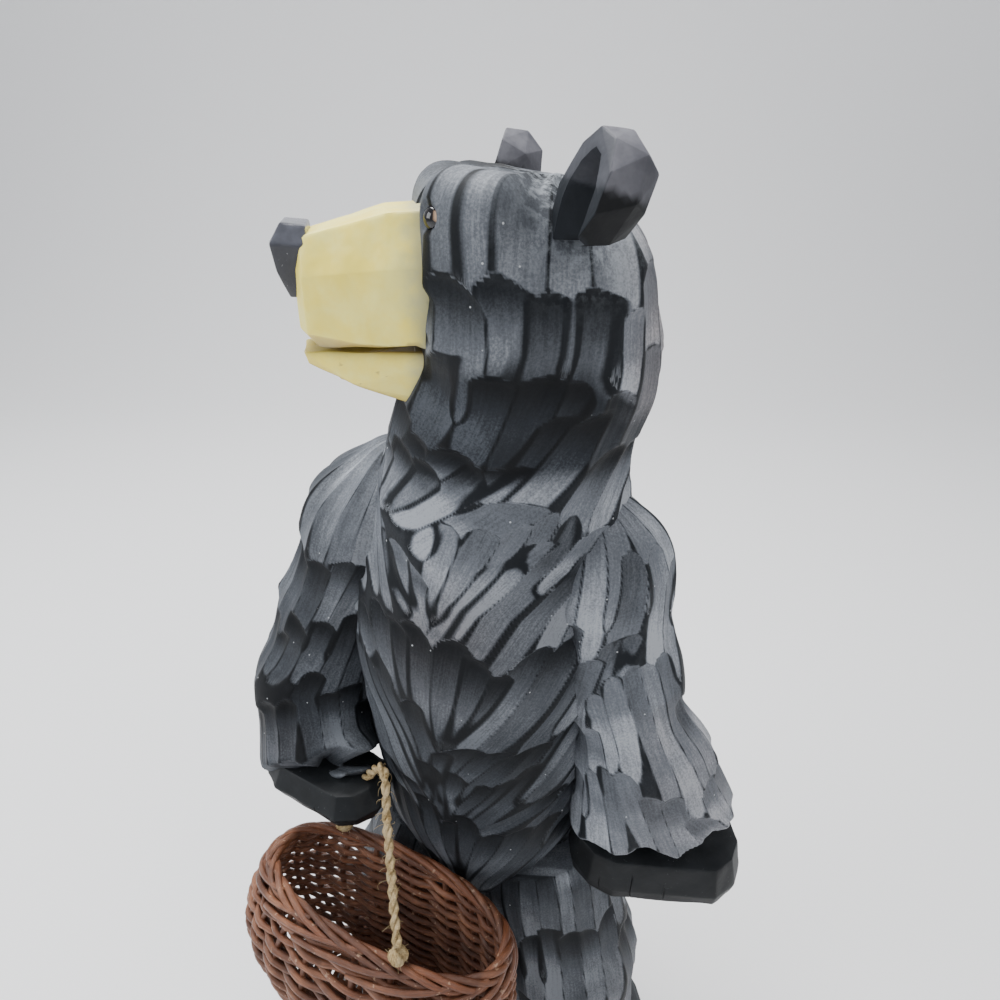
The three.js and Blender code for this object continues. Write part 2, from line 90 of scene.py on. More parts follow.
UP = np.array([0.0, 0.0, 1.0])
FRONT = np.array([0.0, -1.0, 0.0])
TURN = math.radians(HEAD_TURN)
HEAD_FORWARD = np.array([-math.sin(TURN), -math.cos(TURN), 0.0])
HEAD_LEFT = np.array([math.cos(TURN), -math.sin(TURN), 0.0])


def in_head(forward, left, rise):
    """A point of the head, from the middle of the skull."""
    return HEAD_CENTRE + HEAD_FORWARD * forward + HEAD_LEFT * left + UP * rise


def vary(a, b):
    """A repeatable small variation from -1 to 1."""
    s = np.sin(np.asarray(a) * 12.9898 + b * 78.233) * 43758.5453
    return 2 * (s - np.floor(s)) - 1


def chance(a, b):
    """A repeatable number from 0 to 1."""
    return 0.5 + 0.5 * vary(a, b)


def smooth(x, low, high):
    """From 0 below the low value to 1 above the high one."""
    t = np.clip((np.asarray(x, float) - low) / (high - low), 0, 1)
    return t * t * (3 - 2 * t)


def unit(v):
    return v / np.linalg.norm(v, axis=-1, keepdims=True)


def way_along(path):
    """How far along a path each of its points lies."""
    return np.concatenate([[0], np.cumsum(np.linalg.norm(np.diff(path, axis=0), axis=1))])


def placed(name, data):
    """A new object in the scene."""
    item = bpy.data.objects.new(name, data)
    bpy.context.scene.collection.objects.link(item)
    return item


# Camera, at the photograph's angle
CAMERA_AZIMUTH = math.radians(27)
CAMERA_PITCH = math.radians(28)
CAMERA_RIGHT = 17
CAMERA_AWAY = -272
CAMERA_HEIGHT = 558
FOCAL_LENGTH = 24.84
SENSOR = 36


def make_camera():
    right = Vector((math.cos(CAMERA_AZIMUTH), math.sin(CAMERA_AZIMUTH), 0))
    away = Vector((-math.sin(CAMERA_AZIMUTH), math.cos(CAMERA_AZIMUTH), 0))
    up = Vector((0, 0, 1))
    look = away * math.cos(CAMERA_PITCH) - up * math.sin(CAMERA_PITCH)
    top = away * math.sin(CAMERA_PITCH) + up * math.cos(CAMERA_PITCH)
    place = (right * CAMERA_RIGHT + away * CAMERA_AWAY + up * CAMERA_HEIGHT) * MM
    data = bpy.data.cameras.new("camera")
    data.sensor_width = SENSOR
    data.lens = FOCAL_LENGTH
    data.clip_start = 0.01
    camera = placed("camera", data)
    axes = Matrix((right, top, -look)).transposed().to_4x4()
    camera.matrix_world = Matrix.Translation(place) @ axes
    bpy.context.scene.camera = camera


make_camera()


# Mesh helpers
def make_object(name, vertices, faces, attributes=None, sharp=None):
    """An object from points in millimetres, with colours or vectors for its points."""
    mesh = bpy.data.meshes.new(name)
    mesh.from_pydata((np.asarray(vertices) * MM).tolist(), [], faces)
    for key, values in (attributes or {}).items():
        values = np.asarray(values, float)
        if values.shape[1] == 4:
            layer = mesh.attributes.new(key, "FLOAT_COLOR", "POINT")
            layer.data.foreach_set("color", values.ravel())
        else:
            layer = mesh.attributes.new(key, "FLOAT_VECTOR", "POINT")
            layer.data.foreach_set("vector", values.ravel())
    mesh.validate()
    mesh.polygons.foreach_set("use_smooth", [True] * len(mesh.polygons))
    if sharp is not None:
        mesh.set_sharp_from_angle(angle=math.radians(sharp))
    return placed(name, mesh)


def joined(parts):
    """Several sets of points, faces and point values as one."""
    points = []
    faces = []
    values = []
    offset = 0
    for vertices, polygons, extra in parts:
        points.append(vertices)
        values.append(extra)
        faces += [[i + offset for i in face] for face in polygons]
        offset += len(vertices)
    return np.concatenate(points), faces, np.concatenate(values)


def tube(path, radii, sides, reference, closed=False, tone=0, kind=0):
    """A round tube along a path; its values are the turn round it, the way along it, its tone and kind."""
    path = np.asarray(path, float)
    count = len(path)
    if closed:
        tangent = np.roll(path, -1, 0) - np.roll(path, 1, 0)
    else:
        tangent = np.gradient(path, axis=0)
    tangent = unit(tangent)
    reference = np.broadcast_to(np.asarray(reference, float), path.shape)
    side = unit(np.cross(tangent, reference))
    lift = np.cross(side, tangent)
    turn = 2 * np.pi * np.arange(sides) / sides
    radii = np.broadcast_to(np.asarray(radii, float), (count,))
    section = side[:, None] * np.cos(turn)[None, :, None] + lift[:, None] * np.sin(turn)[None, :, None]
    points = (path[:, None] + section * radii[:, None, None]).reshape(-1, 3)
    values = np.zeros((count, sides, 4))
    values[..., 0] = np.cos(turn)[None]
    values[..., 1] = way_along(path)[:, None]
    values[..., 2] = tone
    values[..., 3] = kind
    faces = []
    for i in range(count if closed else count - 1):
        a = i * sides
        b = ((i + 1) % count) * sides
        for j in range(sides):
            k = (j + 1) % sides
            faces.append([a + j, a + k, b + k, b + j])
    if not closed:
        faces.append(list(range(sides))[::-1])
        faces.append([(count - 1) * sides + j for j in range(sides)])
    return points, faces, values.reshape(-1, 4)


# The basket's wall: share of its height, turn around it, and distance in from the outside
RIM_TOP = HOLE_TOP[2] - BAIL_DROP
BASKET_MIDDLE = np.array([-10, BELLY_FRONT - BELLY_CLEARANCE - RIM_DEPTH / 2, RIM_TOP])


def basket_point(share, angle, inset):
    share, angle, inset = np.broadcast_arrays(share, np.asarray(angle, float), inset)
    belly = np.sin(np.pi * np.minimum(1, 0.12 + share * 0.88))
    c = np.cos(angle)
    s = np.sin(angle)
    foot = 1 - 0.1 * (1 - share) ** 2
    half_length = (RIM_LENGTH / 2 + belly * BASKET_BULGE * np.where(c < 0, 0.9, 0.15)) * foot - inset
    swell = np.where(s < 0, belly * BASKET_BULGE * 0.55, 0)
    half_depth = (RIM_DEPTH / 2 + swell) * np.where(s < 0, foot, 1) - inset
    x = np.sign(c) * np.abs(c) ** 0.84 * half_length
    y = np.sign(s) * np.abs(s) ** 0.84 * half_depth
    z = RIM_TOP - BASKET_HEIGHT * (1 - share)
    return np.stack([BASKET_MIDDLE[0] + x, BASKET_MIDDLE[1] + y, z], -1)


# The twine: a bail from the front of the rim, through the paw, to the back of the rim
KNOT_RADIUS = KNOT_DIAMETER / 2
FRONT_ANGLE = math.radians(-72)
BACK_ANGLE = math.radians(125)


def on_rim(angle, rise):
    p = basket_point(1.0, angle, BASKET_WALL / 2)
    p[2] = RIM_TOP + KNOT_RADIUS * 0.8 + TOUCH_GAP + rise
    return p


KNOT_LIFT = 0.8
knot_front = on_rim(FRONT_ANGLE, KNOT_LIFT)
knot_back = on_rim(BACK_ANGLE, KNOT_LIFT)
END_LIFT = KNOT_LIFT + KNOT_RADIUS * 0.8 + TOUCH_GAP + TWINE_DIAMETER * 0.4
twine_start = on_rim(FRONT_ANGLE, END_LIFT)
twine_end = on_rim(BACK_ANGLE, END_LIFT)
TWINE_ROUTE = [
    twine_start,
    twine_start + (HOLE_TOP - twine_start) * 0.33,
    twine_start + (HOLE_TOP - twine_start) * 0.67,
    HOLE_TOP,
    HOLE_TOP + (HOLE_FOOT - HOLE_TOP) * 0.35,
    HOLE_TOP + (HOLE_FOOT - HOLE_TOP) * 0.7,
    HOLE_FOOT,
    twine_end,
]


def smooth_route(route, steps):
    """A centripetal curve through the points."""
    p = [2 * route[0] - route[1], *route, 2 * route[-1] - route[-2]]
    line = []
    for i in range(1, len(p) - 2):
        a, b, c, d = p[i - 1 : i + 3]
        ta = np.linalg.norm(b - a) ** 0.5
        tb = np.linalg.norm(c - b) ** 0.5
        tc = np.linalg.norm(d - c) ** 0.5
        m1 = ((b - a) / ta - (c - a) / (ta + tb) + (c - b) / tb) * tb
        m2 = ((c - b) / tb - (d - b) / (tb + tc) + (d - c) / tc) * tb
        for t in np.arange(steps) / steps:
            h = 2 * t**3 - 3 * t**2 + 1, t**3 - 2 * t**2 + t, 3 * t**2 - 2 * t**3, t**3 - t**2
            line.append(h[0] * b + h[1] * m1 + h[2] * c + h[3] * m2)
    line.append(route[-1])
    return np.array(line)


PLY_PITCH = 13
PLY_TURN = TWINE_DIAMETER * 0.25
PLY_RADIUS = TWINE_DIAMETER * 0.26


def side_frames(path):
    tangent = unit(np.gradient(path, axis=0))
    side = unit(np.cross(tangent, np.array([0.3, 1.0, 0.2])))
    return side, np.cross(tangent, side)


def make_twine():
    path = smooth_route(TWINE_ROUTE, 10)
    side, lift = side_frames(path)
    way = way_along(path)
    parts = []
    for ply in range(2):
        phase = 2 * np.pi * way / PLY_PITCH + np.pi * ply
        line = path + PLY_TURN * (side * np.cos(phase)[:, None] + lift * np.sin(phase)[:, None])
        radii = PLY_RADIUS * (1 + 0.1 * vary(np.arange(len(path)), 5 + ply))
        parts.append(tube(line, radii, 9, [0.3, 1, 0.2], tone=ply))
    vertices, faces, values = joined(parts)
    twine = make_object("twine_plies", vertices, faces, {"along": values})
    return twine, path


twine, twine_path = make_twine()


def make_fibres(path):
    """Loose fibres that stand off the twine."""
    parts = []
    rng = np.random.default_rng(7)
    side, lift = side_frames(path)
    for n in range(46):
        i = int(rng.integers(2, len(path) * 0.45))
        angle = rng.uniform(0, 2 * np.pi)
        out = side[i] * math.cos(angle) + lift[i] * math.sin(angle)
        reach = rng.uniform(1.2, 5) if n > 3 else rng.uniform(8, 14)
        drift = rng.normal(0, 1, 3) * reach * 0.35
        t = np.linspace(0, 1, 7)[:, None]
        start = path[i] + out * TWINE_DIAMETER * 0.4
        line = start + out * reach * t * (1.2 - 0.6 * t) + drift * t**2 - UP * reach * 0.35 * t**2
        parts.append(tube(line, 0.11, 4, [0.31, 0.21, 0.9]))
    vertices, faces, values = joined(parts)
    return make_object("twine_fibres", vertices, faces, {"along": values})


def make_knot(name, place, seed):
    """A knot of the twine: turns of it wound over each other, with short frayed fibres standing out of it.
    """
    rng = np.random.default_rng(seed)
    parts = []
    for turn in range(3):
        axis = unit(rng.normal(0, 1, 3))
        first = unit(np.cross(axis, [0.2, 0.9, 0.3]))
        second = np.cross(axis, first)
        t = np.linspace(0, 2 * np.pi, 25)[:-1]
        radius = KNOT_RADIUS * 0.56
        line = place + radius * (first * np.cos(t)[:, None] + second * np.sin(t)[:, None] * 0.9)
        line[:, 2] = place[2] + (line[:, 2] - place[2]) * 0.8
        parts.append(tube(line, TWINE_DIAMETER * 0.42, 10, axis, closed=True, tone=turn))
    for n in range(30):
        out = unit(rng.normal(0, 1, 3))
        start = place + out * KNOT_RADIUS * 0.7
        t = np.linspace(0, 1, 6)[:, None]
        line = start + out * rng.uniform(1.0, 2.8) * t + rng.normal(0, 0.7, 3) * t**2
        parts.append(tube(line, 0.12, 4, [0.31, 0.21, 0.9]))
    vertices, faces, values = joined(parts)
    return make_object(name, vertices, faces, {"along": values})


knot_front_piece = make_knot("knot_front_turns", knot_front, 3)
knot_back_piece = make_knot("knot_back_turns", knot_back, 4)
fibres = make_fibres(twine_path)
for piece in (twine, fibres, knot_front_piece, knot_back_piece):
    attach(piece, "root")
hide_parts("twine")
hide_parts("knot_front")
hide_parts("knot_back")


# The figure's mass: tapered round limbs that flow into each other
LIMBS = []


def limb(part, *stops):
    """A run of tapered limbs through some places, each given with its radius."""
    for (start, start_radius), (end, end_radius) in zip(stops, stops[1:]):
        start = np.array(start, float)
        LIMBS.append((part, start, float(start_radius), np.array(end, float), float(end_radius)))


CHEST = ((16, 8, 415), 53)
limb("torso", ((8, 10, 200), 47), ((8, 10, 250), 56), ((8, 10, 298), 61), ((8, 8, 345), 63), CHEST)
limb("neck", CHEST, ((24, 8, 455), 46), (in_head(-6, 0, -24), 37))
limb("neck", ((14, 2, 432), 44), (in_head(26, 0, -34), 30))
limb("torso", ((-32, 4, 392), 34), ((46, 14, 390), 34))
for side in (1, -1):
    knee = ((8 + side * 51, 6, 120), 43)
    limb(f"leg{side}", ((10 + side * 30, 8, 190), 44), knee, ((8 + side * 57, 4, 62), 41))
limb("left_arm", ((48, 10, 410), 24), ((61, 10, 390), 31), ((75, 8, 340), 27), ((90, 6, 295), 27))
limb("left_arm", ((86, 2, 295), 25), ((87, 0, 250), 25))
limb("left_arm", ((98, 8, 295), 27), ((120, 12, 250), 25))
ELBOW = ((-80, -28, 300), 28)
limb("right_arm", ((-30, 0, 412), 27), ((-45, -2, 392), 34), ((-70, -13, 340), 28), ELBOW)
limb("right_arm", ELBOW, ((-71, -46, 268), 25))
limb("right_arm", ((-64, -44, 268), 22), ((-40, -49, 273), 18))
limb("right_arm", ((-66, -22, 338), 19), ((-62, -32, 285), 21))
limb("head", (in_head(2, -8, 4), 39), (in_head(2, 8, 4), 39))
limb("head", (in_head(22, -18, 20), 25), (in_head(22, 18, 20), 25))
limb("head", (in_head(-6, -8, -20), 34), (in_head(-6, 8, -20), 34))
for side in (1, -1):
    limb("head", (in_head(36, side * 20, 36), 9), (in_head(28, side * 30, 34), 11))
    limb("head", (in_head(22, side * 18, -4), 27), (in_head(18, side * 15, -26), 25))


def limb_distance(p, start, r0, end, r1):
    """Distance to a limb with a ball at either end and a cone between them."""
    along = end - start
    length2 = along @ along
    taper = r0 - r1
    off = p - start
    run = off @ along
    past = run - length2
    across = off * length2 - along * run[:, None]
    off2 = np.einsum("ij,ij->i", across, across)
    run2 = run * run * length2
    past2 = past * past * length2
    slant = length2 - taper * taper
    edge = np.sign(taper) * taper * taper * off2
    middle = (np.sqrt(off2 * slant / length2) + run * taper) / length2 - r0
    out = np.where(np.sign(run) * slant * run2 < edge, np.sqrt(off2 + run2) / length2 - r0, middle)
    return np.where(np.sign(past) * slant * past2 > edge, np.sqrt(off2 + past2) / length2 - r1, out)


def mass_distance(p, parts):
    """Distance to the smooth mass of some parts of the figure."""
    distance = None
    for part, start, r0, end, r1 in LIMBS:
        if part not in parts:
            continue
        d = limb_distance(p, start, r0, end, r1)
        if distance is None:
            distance = d
            continue
        near = np.maximum(BLEND - np.abs(distance - d), 0) / BLEND
        distance = np.minimum(distance, d) - near * near * BLEND / 4
    return distance


def cast_out(start, ray, parts):
    """How far out along each ray the surface of some parts lies."""
    reach = np.full(len(start), 110.0)
    for _ in range(34):
        gap = mass_distance(start + ray * reach[:, None], parts)
        reach -= np.where(gap < 0.05, 0, gap)
    return np.maximum(reach, 2)


class Axis:
    """A limb's axis: its centre at a run down it, and the two ways across it."""

    def __init__(self, points):
        self.points = np.array(points, float)
        step = np.diff(self.points, axis=0)
        self.length = np.linalg.norm(step, axis=1)
        self.start = way_along(self.points)[:-1]
        self.tangent = step / self.length[:, None]
        mitre = unit(self.tangent[:-1] + self.tangent[1:])
        self.before = np.concatenate([self.tangent[:1], mitre])
        self.after = np.concatenate([mitre, self.tangent[-1:]])

    def at(self, run):
        index = np.clip(np.searchsorted(self.start, run, side="left") - 1, 0, len(self.length) - 1)
        share = (run - self.start[index]) / self.length[index]
        centre = self.points[index] + (self.points[index + 1] - self.points[index]) * share[:, None]
        t = np.clip(share, 0, 1)[:, None]
        down = unit(self.before[index] * (1 - t) + self.after[index] * t)
        ahead = unit(FRONT - down * (down @ FRONT)[:, None])
        return centre, ahead, np.cross(ahead, down)

    def rays(self, run, turn):
        centre, ahead, aside = self.at(run)
        return centre, ahead * np.cos(turn)[:, None] + aside * np.sin(turn)[:, None]


class Trunk:
    """The head and trunk as one limb: runs lead from the crown over a dome, then down the axis."""

    def __init__(self, points):
        self.axis = Axis(points)
        self.dome = DOME_RADIUS * math.pi / 2

    def rays(self, run, turn):
        centre, ray = self.axis.rays(np.maximum(run - self.dome, 0), turn)
        polar = np.clip(run / DOME_RADIUS, 0.004, math.pi / 2)[:, None]
        level = np.stack([np.sin(turn), -np.cos(turn), 0 * turn], -1)
        over = UP * np.cos(polar) + level * np.sin(polar)
        return centre, np.where((run < self.dome)[:, None], over, ray)


def over_dome(degrees):
    return DOME_RADIUS * math.radians(degrees)


def wrapped(degrees):
    return (np.asarray(degrees) + 180) % 360 - 180


def sine(degrees):
    return np.sin(np.radians(degrees))


def chevron(a):
    w = np.abs(wrapped(a))
    return -36 * np.sign(wrapped(a)) * np.minimum(1, w / 40) * np.clip((170 - w) / 70, 0, 1)


def throat_sweep(a):
    return -34 * sine(a + HEAD_TURN - 10)


def cheek_sweep(a):
    return -8 * sine(a + HEAD_TURN)


def row(start, end, columns, seed, sweep=lambda a: 0 * a, calm=False):
    return {"from": start, "to": end, "columns": columns, "seed": seed, "sweep": sweep, "calm": calm}


def even_rows(start, end, radius, seed, size=1, sweep=lambda a: 0 * a):
    count = round((end - start) / (LOCK_LENGTH * size))
    columns = round(2 * math.pi * radius / (LOCK_WIDTH * size))
    step = (end - start) / count
    return [row(start + i * step, start + (i + 1) * step, columns, seed + i, sweep) for i in range(count)]


def down_to(height):
    return DOME_RADIUS * math.pi / 2 + (HEAD_MIDDLE - height) * 1.02


EYE_WITHIN = {side: in_head(20, side * 19, 32) for side in (1, -1)}
EYE_NORMAL = {side: unit(HEAD_FORWARD * 0.94 + HEAD_LEFT * side * 0.34) for side in (1, -1)}
EYE_PLACE = {}
for side in (1, -1):
    reach = cast_out(EYE_WITHIN[side][None], EYE_NORMAL[side][None], ["head"])[0]
    EYE_PLACE[side] = EYE_WITHIN[side] + EYE_NORMAL[side] * reach
SOCKETS = [(EYE_PLACE[side] + EYE_NORMAL[side] * 3 + UP * 0.5, 5.8) for side in (1, -1)]

TUBES = []


def add_tube(parts, sides, pieces, axis, rows, **more):
    """A limb with the rows of strokes down it, and the runs at which each of its pieces ends."""
    TUBES.append({"parts": parts, "sides": sides, "pieces": pieces, "axis": axis, "rows": rows, **more})


add_tube(
    ["torso", "neck", "head"],
    330,
    [("bear_head", down_to(462)), ("bear_trunk", down_to(170))],
    Trunk([(36, 4, HEAD_MIDDLE), (36, 4, 500), (29, 6, 470), (20, 8, 435), (9, 9, 395), (8, 10, 140)]),
    [
        row(-6, over_dome(26), 9, 1, calm=True),
        row(over_dome(26), over_dome(84), 19, 2),
        row(over_dome(84), down_to(486), 20, 23),
        row(down_to(486), down_to(463), 20, 3, cheek_sweep),
        row(down_to(463), down_to(441), 19, 4, throat_sweep),
        row(down_to(441), down_to(419), 19, 5, throat_sweep),
        *even_rows(down_to(419), down_to(168), 50, 7, sweep=chevron),
    ],
    hollows=SOCKETS,
)
add_tube(
    ["left_arm"],
    190,
    [("bear_left_arm", 186)],
    Axis([(52, 11, 424), (62, 10, 392), (75, 8, 340), (91, 5, 295), (104, 6, 246), (108, 6, 230)]),
    [
        *even_rows(4, 94, 29, 30, sweep=lambda a: -12 - 38 * np.cos(np.radians(a))),
        *even_rows(94, 174, 34, 34, sweep=lambda a: 8 * sine(a)),
    ],
    top=-14,
    hem=175,
)
add_tube(
    ["right_arm"],
    180,
    [("bear_right_arm", 188)],
    Axis([
        (-34, 0, 424), (-45, -2, 392), (-70, -13, 340), (-79, -28, 300), (-63, -46, 266), (-60, -49, 260),
    ]),
    even_rows(4, 180, 30, 50, sweep=lambda a: 0 * a + 6),
    top=-14,
    hem=178,
)
for side, name in ((1, "bear_left_leg"), (-1, "bear_right_leg")):
    add_tube(
        [f"leg{side}"],
        230,
        [(name, 188)],
        Axis([(8 + side * x, y, z) for x, y, z in ((32, 8, 210), (51, 6, 120), (57, 4, 62), (58, 4, 20))]),
        even_rows(4, 186, 43, 70 + side * 8, size=1.1, sweep=lambda a: -8 * sine(a)),
    )


def stagger(angle, edge):
    """How far the line between two rows strays down the limb."""
    turn = np.radians(angle)
    return LOCK_STAGGER * (0.65 * np.sin(3 * turn + 2.1 * edge) + 0.35 * np.sin(8 * turn + 4.3 * edge))


def cast_grid(tube_spec, run, angle):
    """How far out the mass lies on a fine grid of runs and angles: found coarsely, then brought onto it."""
    parts = tube_spec["parts"]
    hollows = tube_spec.get("hollows", ())
    centre, ray = tube_spec["axis"].rays(run.ravel(), np.radians(angle).ravel())
    centre = centre.reshape(*run.shape, 3)
    ray = ray.reshape(*run.shape, 3)
    rings = np.unique(np.concatenate([np.arange(0, len(run), 5), [len(run) - 1]]))
    some = cast_out(centre[rings, ::5].reshape(-1, 3), ray[rings, ::5].reshape(-1, 3), parts)
    some = some.reshape(len(rings), -1)
    every = np.arange(run.shape[1]) / 5
    known = np.arange(some.shape[1] + 1)
    wide = np.stack([np.interp(every, known, np.append(line, line[0])) for line in some])
    reach = np.stack([np.interp(np.arange(len(run)), rings, wide[:, i]) for i in range(run.shape[1])], 1)
    reach = reach.ravel()
    flat_centre = centre.reshape(-1, 3)
    flat_ray = ray.reshape(-1, 3)
    for _ in range(6):
        reach = reach - mass_distance(flat_centre + flat_ray * reach[:, None], parts)
    for middle, radius in hollows:
        off = flat_centre - middle
        along = (off * flat_ray).sum(1)
        chord = along**2 - (off**2).sum(1) + radius**2
        near = -along - np.sqrt(np.maximum(chord, 0))
        reach = np.where((chord > 0) & (near < reach), np.minimum(reach, near), reach)
    return centre, ray, reach.reshape(run.shape)


def strokes_of(tube_spec):
    """The strokes on a limb: start, end, angle, sweep, half width, number, seed, and whether it hems."""
    strokes = []
    for spec in tube_spec["rows"]:
        columns, seed = spec["columns"], spec["seed"]
        length = spec["to"] - spec["from"]
        lead = 26 if spec is tube_spec["rows"][0] and not spec["calm"] else 0
        for k in range(columns):
            clump = (k + seed) // LOCK_CLUMP
            middle = 360 * (k + 0.5 * (seed % 2) + 0.16 * vary(k, seed)) / columns
            sweep = float(spec["sweep"](middle))
            shift_in = shift_out = 0.0
            if not spec["calm"]:
                sweep += 8 * vary(clump, seed + 21)
                shift_in = stagger(middle, seed) + CLUMP_START * length * vary(clump, seed + 23)
                shift_in = shift_in + 4 * vary(k, seed + 2) - 3
                shift_out = stagger(middle + sweep, seed + 1)
                shift_out = shift_out + CLUMP_END * length * vary(clump, seed + 20) + 5
            hem = spec is tube_spec["rows"][-1] and "hem" in tube_spec
            start = spec["from"] - lead + shift_in
            end = tube_spec["hem"] + 7 * vary(k, seed + 5) if hem else spec["to"] + shift_out + 2
            strokes.append((start, end, middle, sweep, 180 / columns, k, seed, hem))
    return strokes


def blurred(grid):
    """A grid of values around a limb, each evened out a little with its neighbours."""
    across = 0.5 * grid + 0.25 * (np.roll(grid, 1, 1) + np.roll(grid, -1, 1))
    above = np.concatenate([across[:1], across[:-1]])
    below = np.concatenate([across[1:], across[-1:]])
    return 0.5 * across + 0.25 * (above + below)


def carve(tube_spec, run, angle):
    """The lowest of all strokes at each place: its depth, the depth to the next, and the place within it."""
    best = np.full(run.shape, 1.3)
    second = np.full(run.shape, 1.6)
    values = np.zeros((*run.shape, 4))
    values[..., 0] = 0.5
    for start, end, middle, sweep, half, k, seed, hem in strokes_of(tube_spec):
        rings = np.flatnonzero((run[:, 0] > start - 9) & (run[:, 0] < end + 12))
        if not len(rings):
            continue
        window = slice(rings[0], rings[-1] + 1)
        y = run[window]
        t = (y - start) / (end - start)
        bow = 0.3 * half * vary(k, seed + 6) * np.sin(np.pi * np.clip(t, 0, 1))
        u = wrapped(angle[window] - middle - sweep * t - bow) / (half * (1 + 0.12 * vary(k, seed + 1)))
        curve = LOCK_ROUND * (0.55 + 0.45 * vary(k, seed + 10))
        near = np.minimum(u**2, 2)
        slant = np.clip(u, -1.5, 1.5)
        enter = start + curve * near + 3.6 * vary(k, seed + 11) * slant - y
        leave = y - (end - 0.8 * LOCK_ROUND * near + 2 * vary(k, seed + 13) * slant)
        z = LOCK_SCOOP * (u**2 - 0.6) * (1 + 0.25 * vary(k, seed + 7))
        z = z + LOCK_STEP * (np.clip(t, 0, 1) - 0.62)
        z = z + 0.3 * vary(k, seed + 4) + 0.35 * vary(k, seed + 8) * u
        z = z + LOCK_WALL * np.maximum(enter, 0) + 0.12 * np.maximum(leave + 5, 0)
        z = z + (HEM_DIVE if hem else 0.5) * np.maximum(leave, 0)
        z = z + 0.12 * vary(k, seed + 9) * np.sin(9 * u + 5 * t) * (np.abs(u) < 1)
        better = z < best[window]
        second[window] = np.where(better, best[window], np.minimum(second[window], z))
        best[window] = np.where(better, z, best[window])
        mine = np.stack(np.broadcast_arrays(t, chance(k, seed + 12), u, k * 3.7 + seed * 11.3), -1)
        values[window] = np.where(better[..., None], mine, values[window])
    margin = second - best
    ridge = np.maximum(0.6 - margin, 0) / 0.6
    depth = best - ridge**2 * 0.12
    if "hollows" in tube_spec:
        # The strokes fade out on the crown, where the runs meet
        calm = smooth(run, 4, 22)
        depth = depth * calm
        margin = margin * calm + 0.8 * (1 - calm)
    margin = 0.5 * margin + 0.5 * blurred(margin)
    return 0.5 * depth + 0.5 * blurred(depth), margin, values


def blob(points, centre, radius):
    return np.exp(-(np.linalg.norm(points - np.array(centre, float), axis=1) / radius) ** 2)


def paint_and_light_zones(points):
    """Where the fur is light, warm, scuffed or dark, for points on the fur. The light channel is partly the
    airbrushed paint and partly painted light and shade from above.
    """
    z = points[:, 2]
    # Lighter up the chest than on the belly: partly airbrushed paint, partly painted light from above
    light = 0.15 + 0.3 * smooth(z, 322, 352) + 0.22 * smooth(z, 385, 412)
    ahead = (points - HEAD_CENTRE) @ HEAD_FORWARD
    back = 16 * smooth(-ahead, 0, 25)
    light += 0.25 * smooth(z, 400, 420)
    # Painted shade: a dark band on the neck under the head, ending lower at the back; the head above is a
    # little darker too
    light -= 1.1 * smooth(z, 442, 456) * (1 - smooth(z + back, 480, 500)) + 0.25 * smooth(z, 480, 500)
    light -= 0.9 * blob(points, in_head(24, -22, 38), 18) + 0.12 * smooth(z, 500, 525)
    light += 0.5 * smooth(-ahead, 5, 30) * smooth(z, 455, 475)
    light += 0.2 * (1 - smooth(z, 190, 215))
    light += 0.3 * blob(points, (4, -46, 412), 26)
    below = 1 - smooth(z, 425, 445)
    left_arm = smooth(points[:, 0], 56, 72) * below * smooth(z, 205, 215)
    right_arm = smooth(-points[:, 0], 42, 58) * below * smooth(z, 205, 215)
    light = light * (1 - left_arm) + 1.0 * left_arm
    light = light * (1 - right_arm) + (0.06 + 0.2 * smooth(z, 300, 355)) * right_arm
    warm = 0.9 * smooth(-ahead, 12, 34) * smooth(z, 440, 470)
    warm = np.maximum(warm, 0.8 * blob(points, (14, -48, 372), 24))
    warm = np.maximum(warm, 0.8 * blob(points, (-72, -56, 285), 14))
    warm = np.maximum(warm, 0.35 * smooth(points[:, 0], 84, 110) * (z < 340))
    scuff = blob(points, in_head(-2, 24, 38), 20) + 0.7 * blob(points, in_head(-2, 36, 26), 12)
    scuff += 0.2 * blob(points, in_head(6, 0, 42), 18)
    return np.stack([np.clip(light, 0, 1), np.clip(warm, 0, 1), np.clip(scuff, 0, 1), 0 * z], -1)


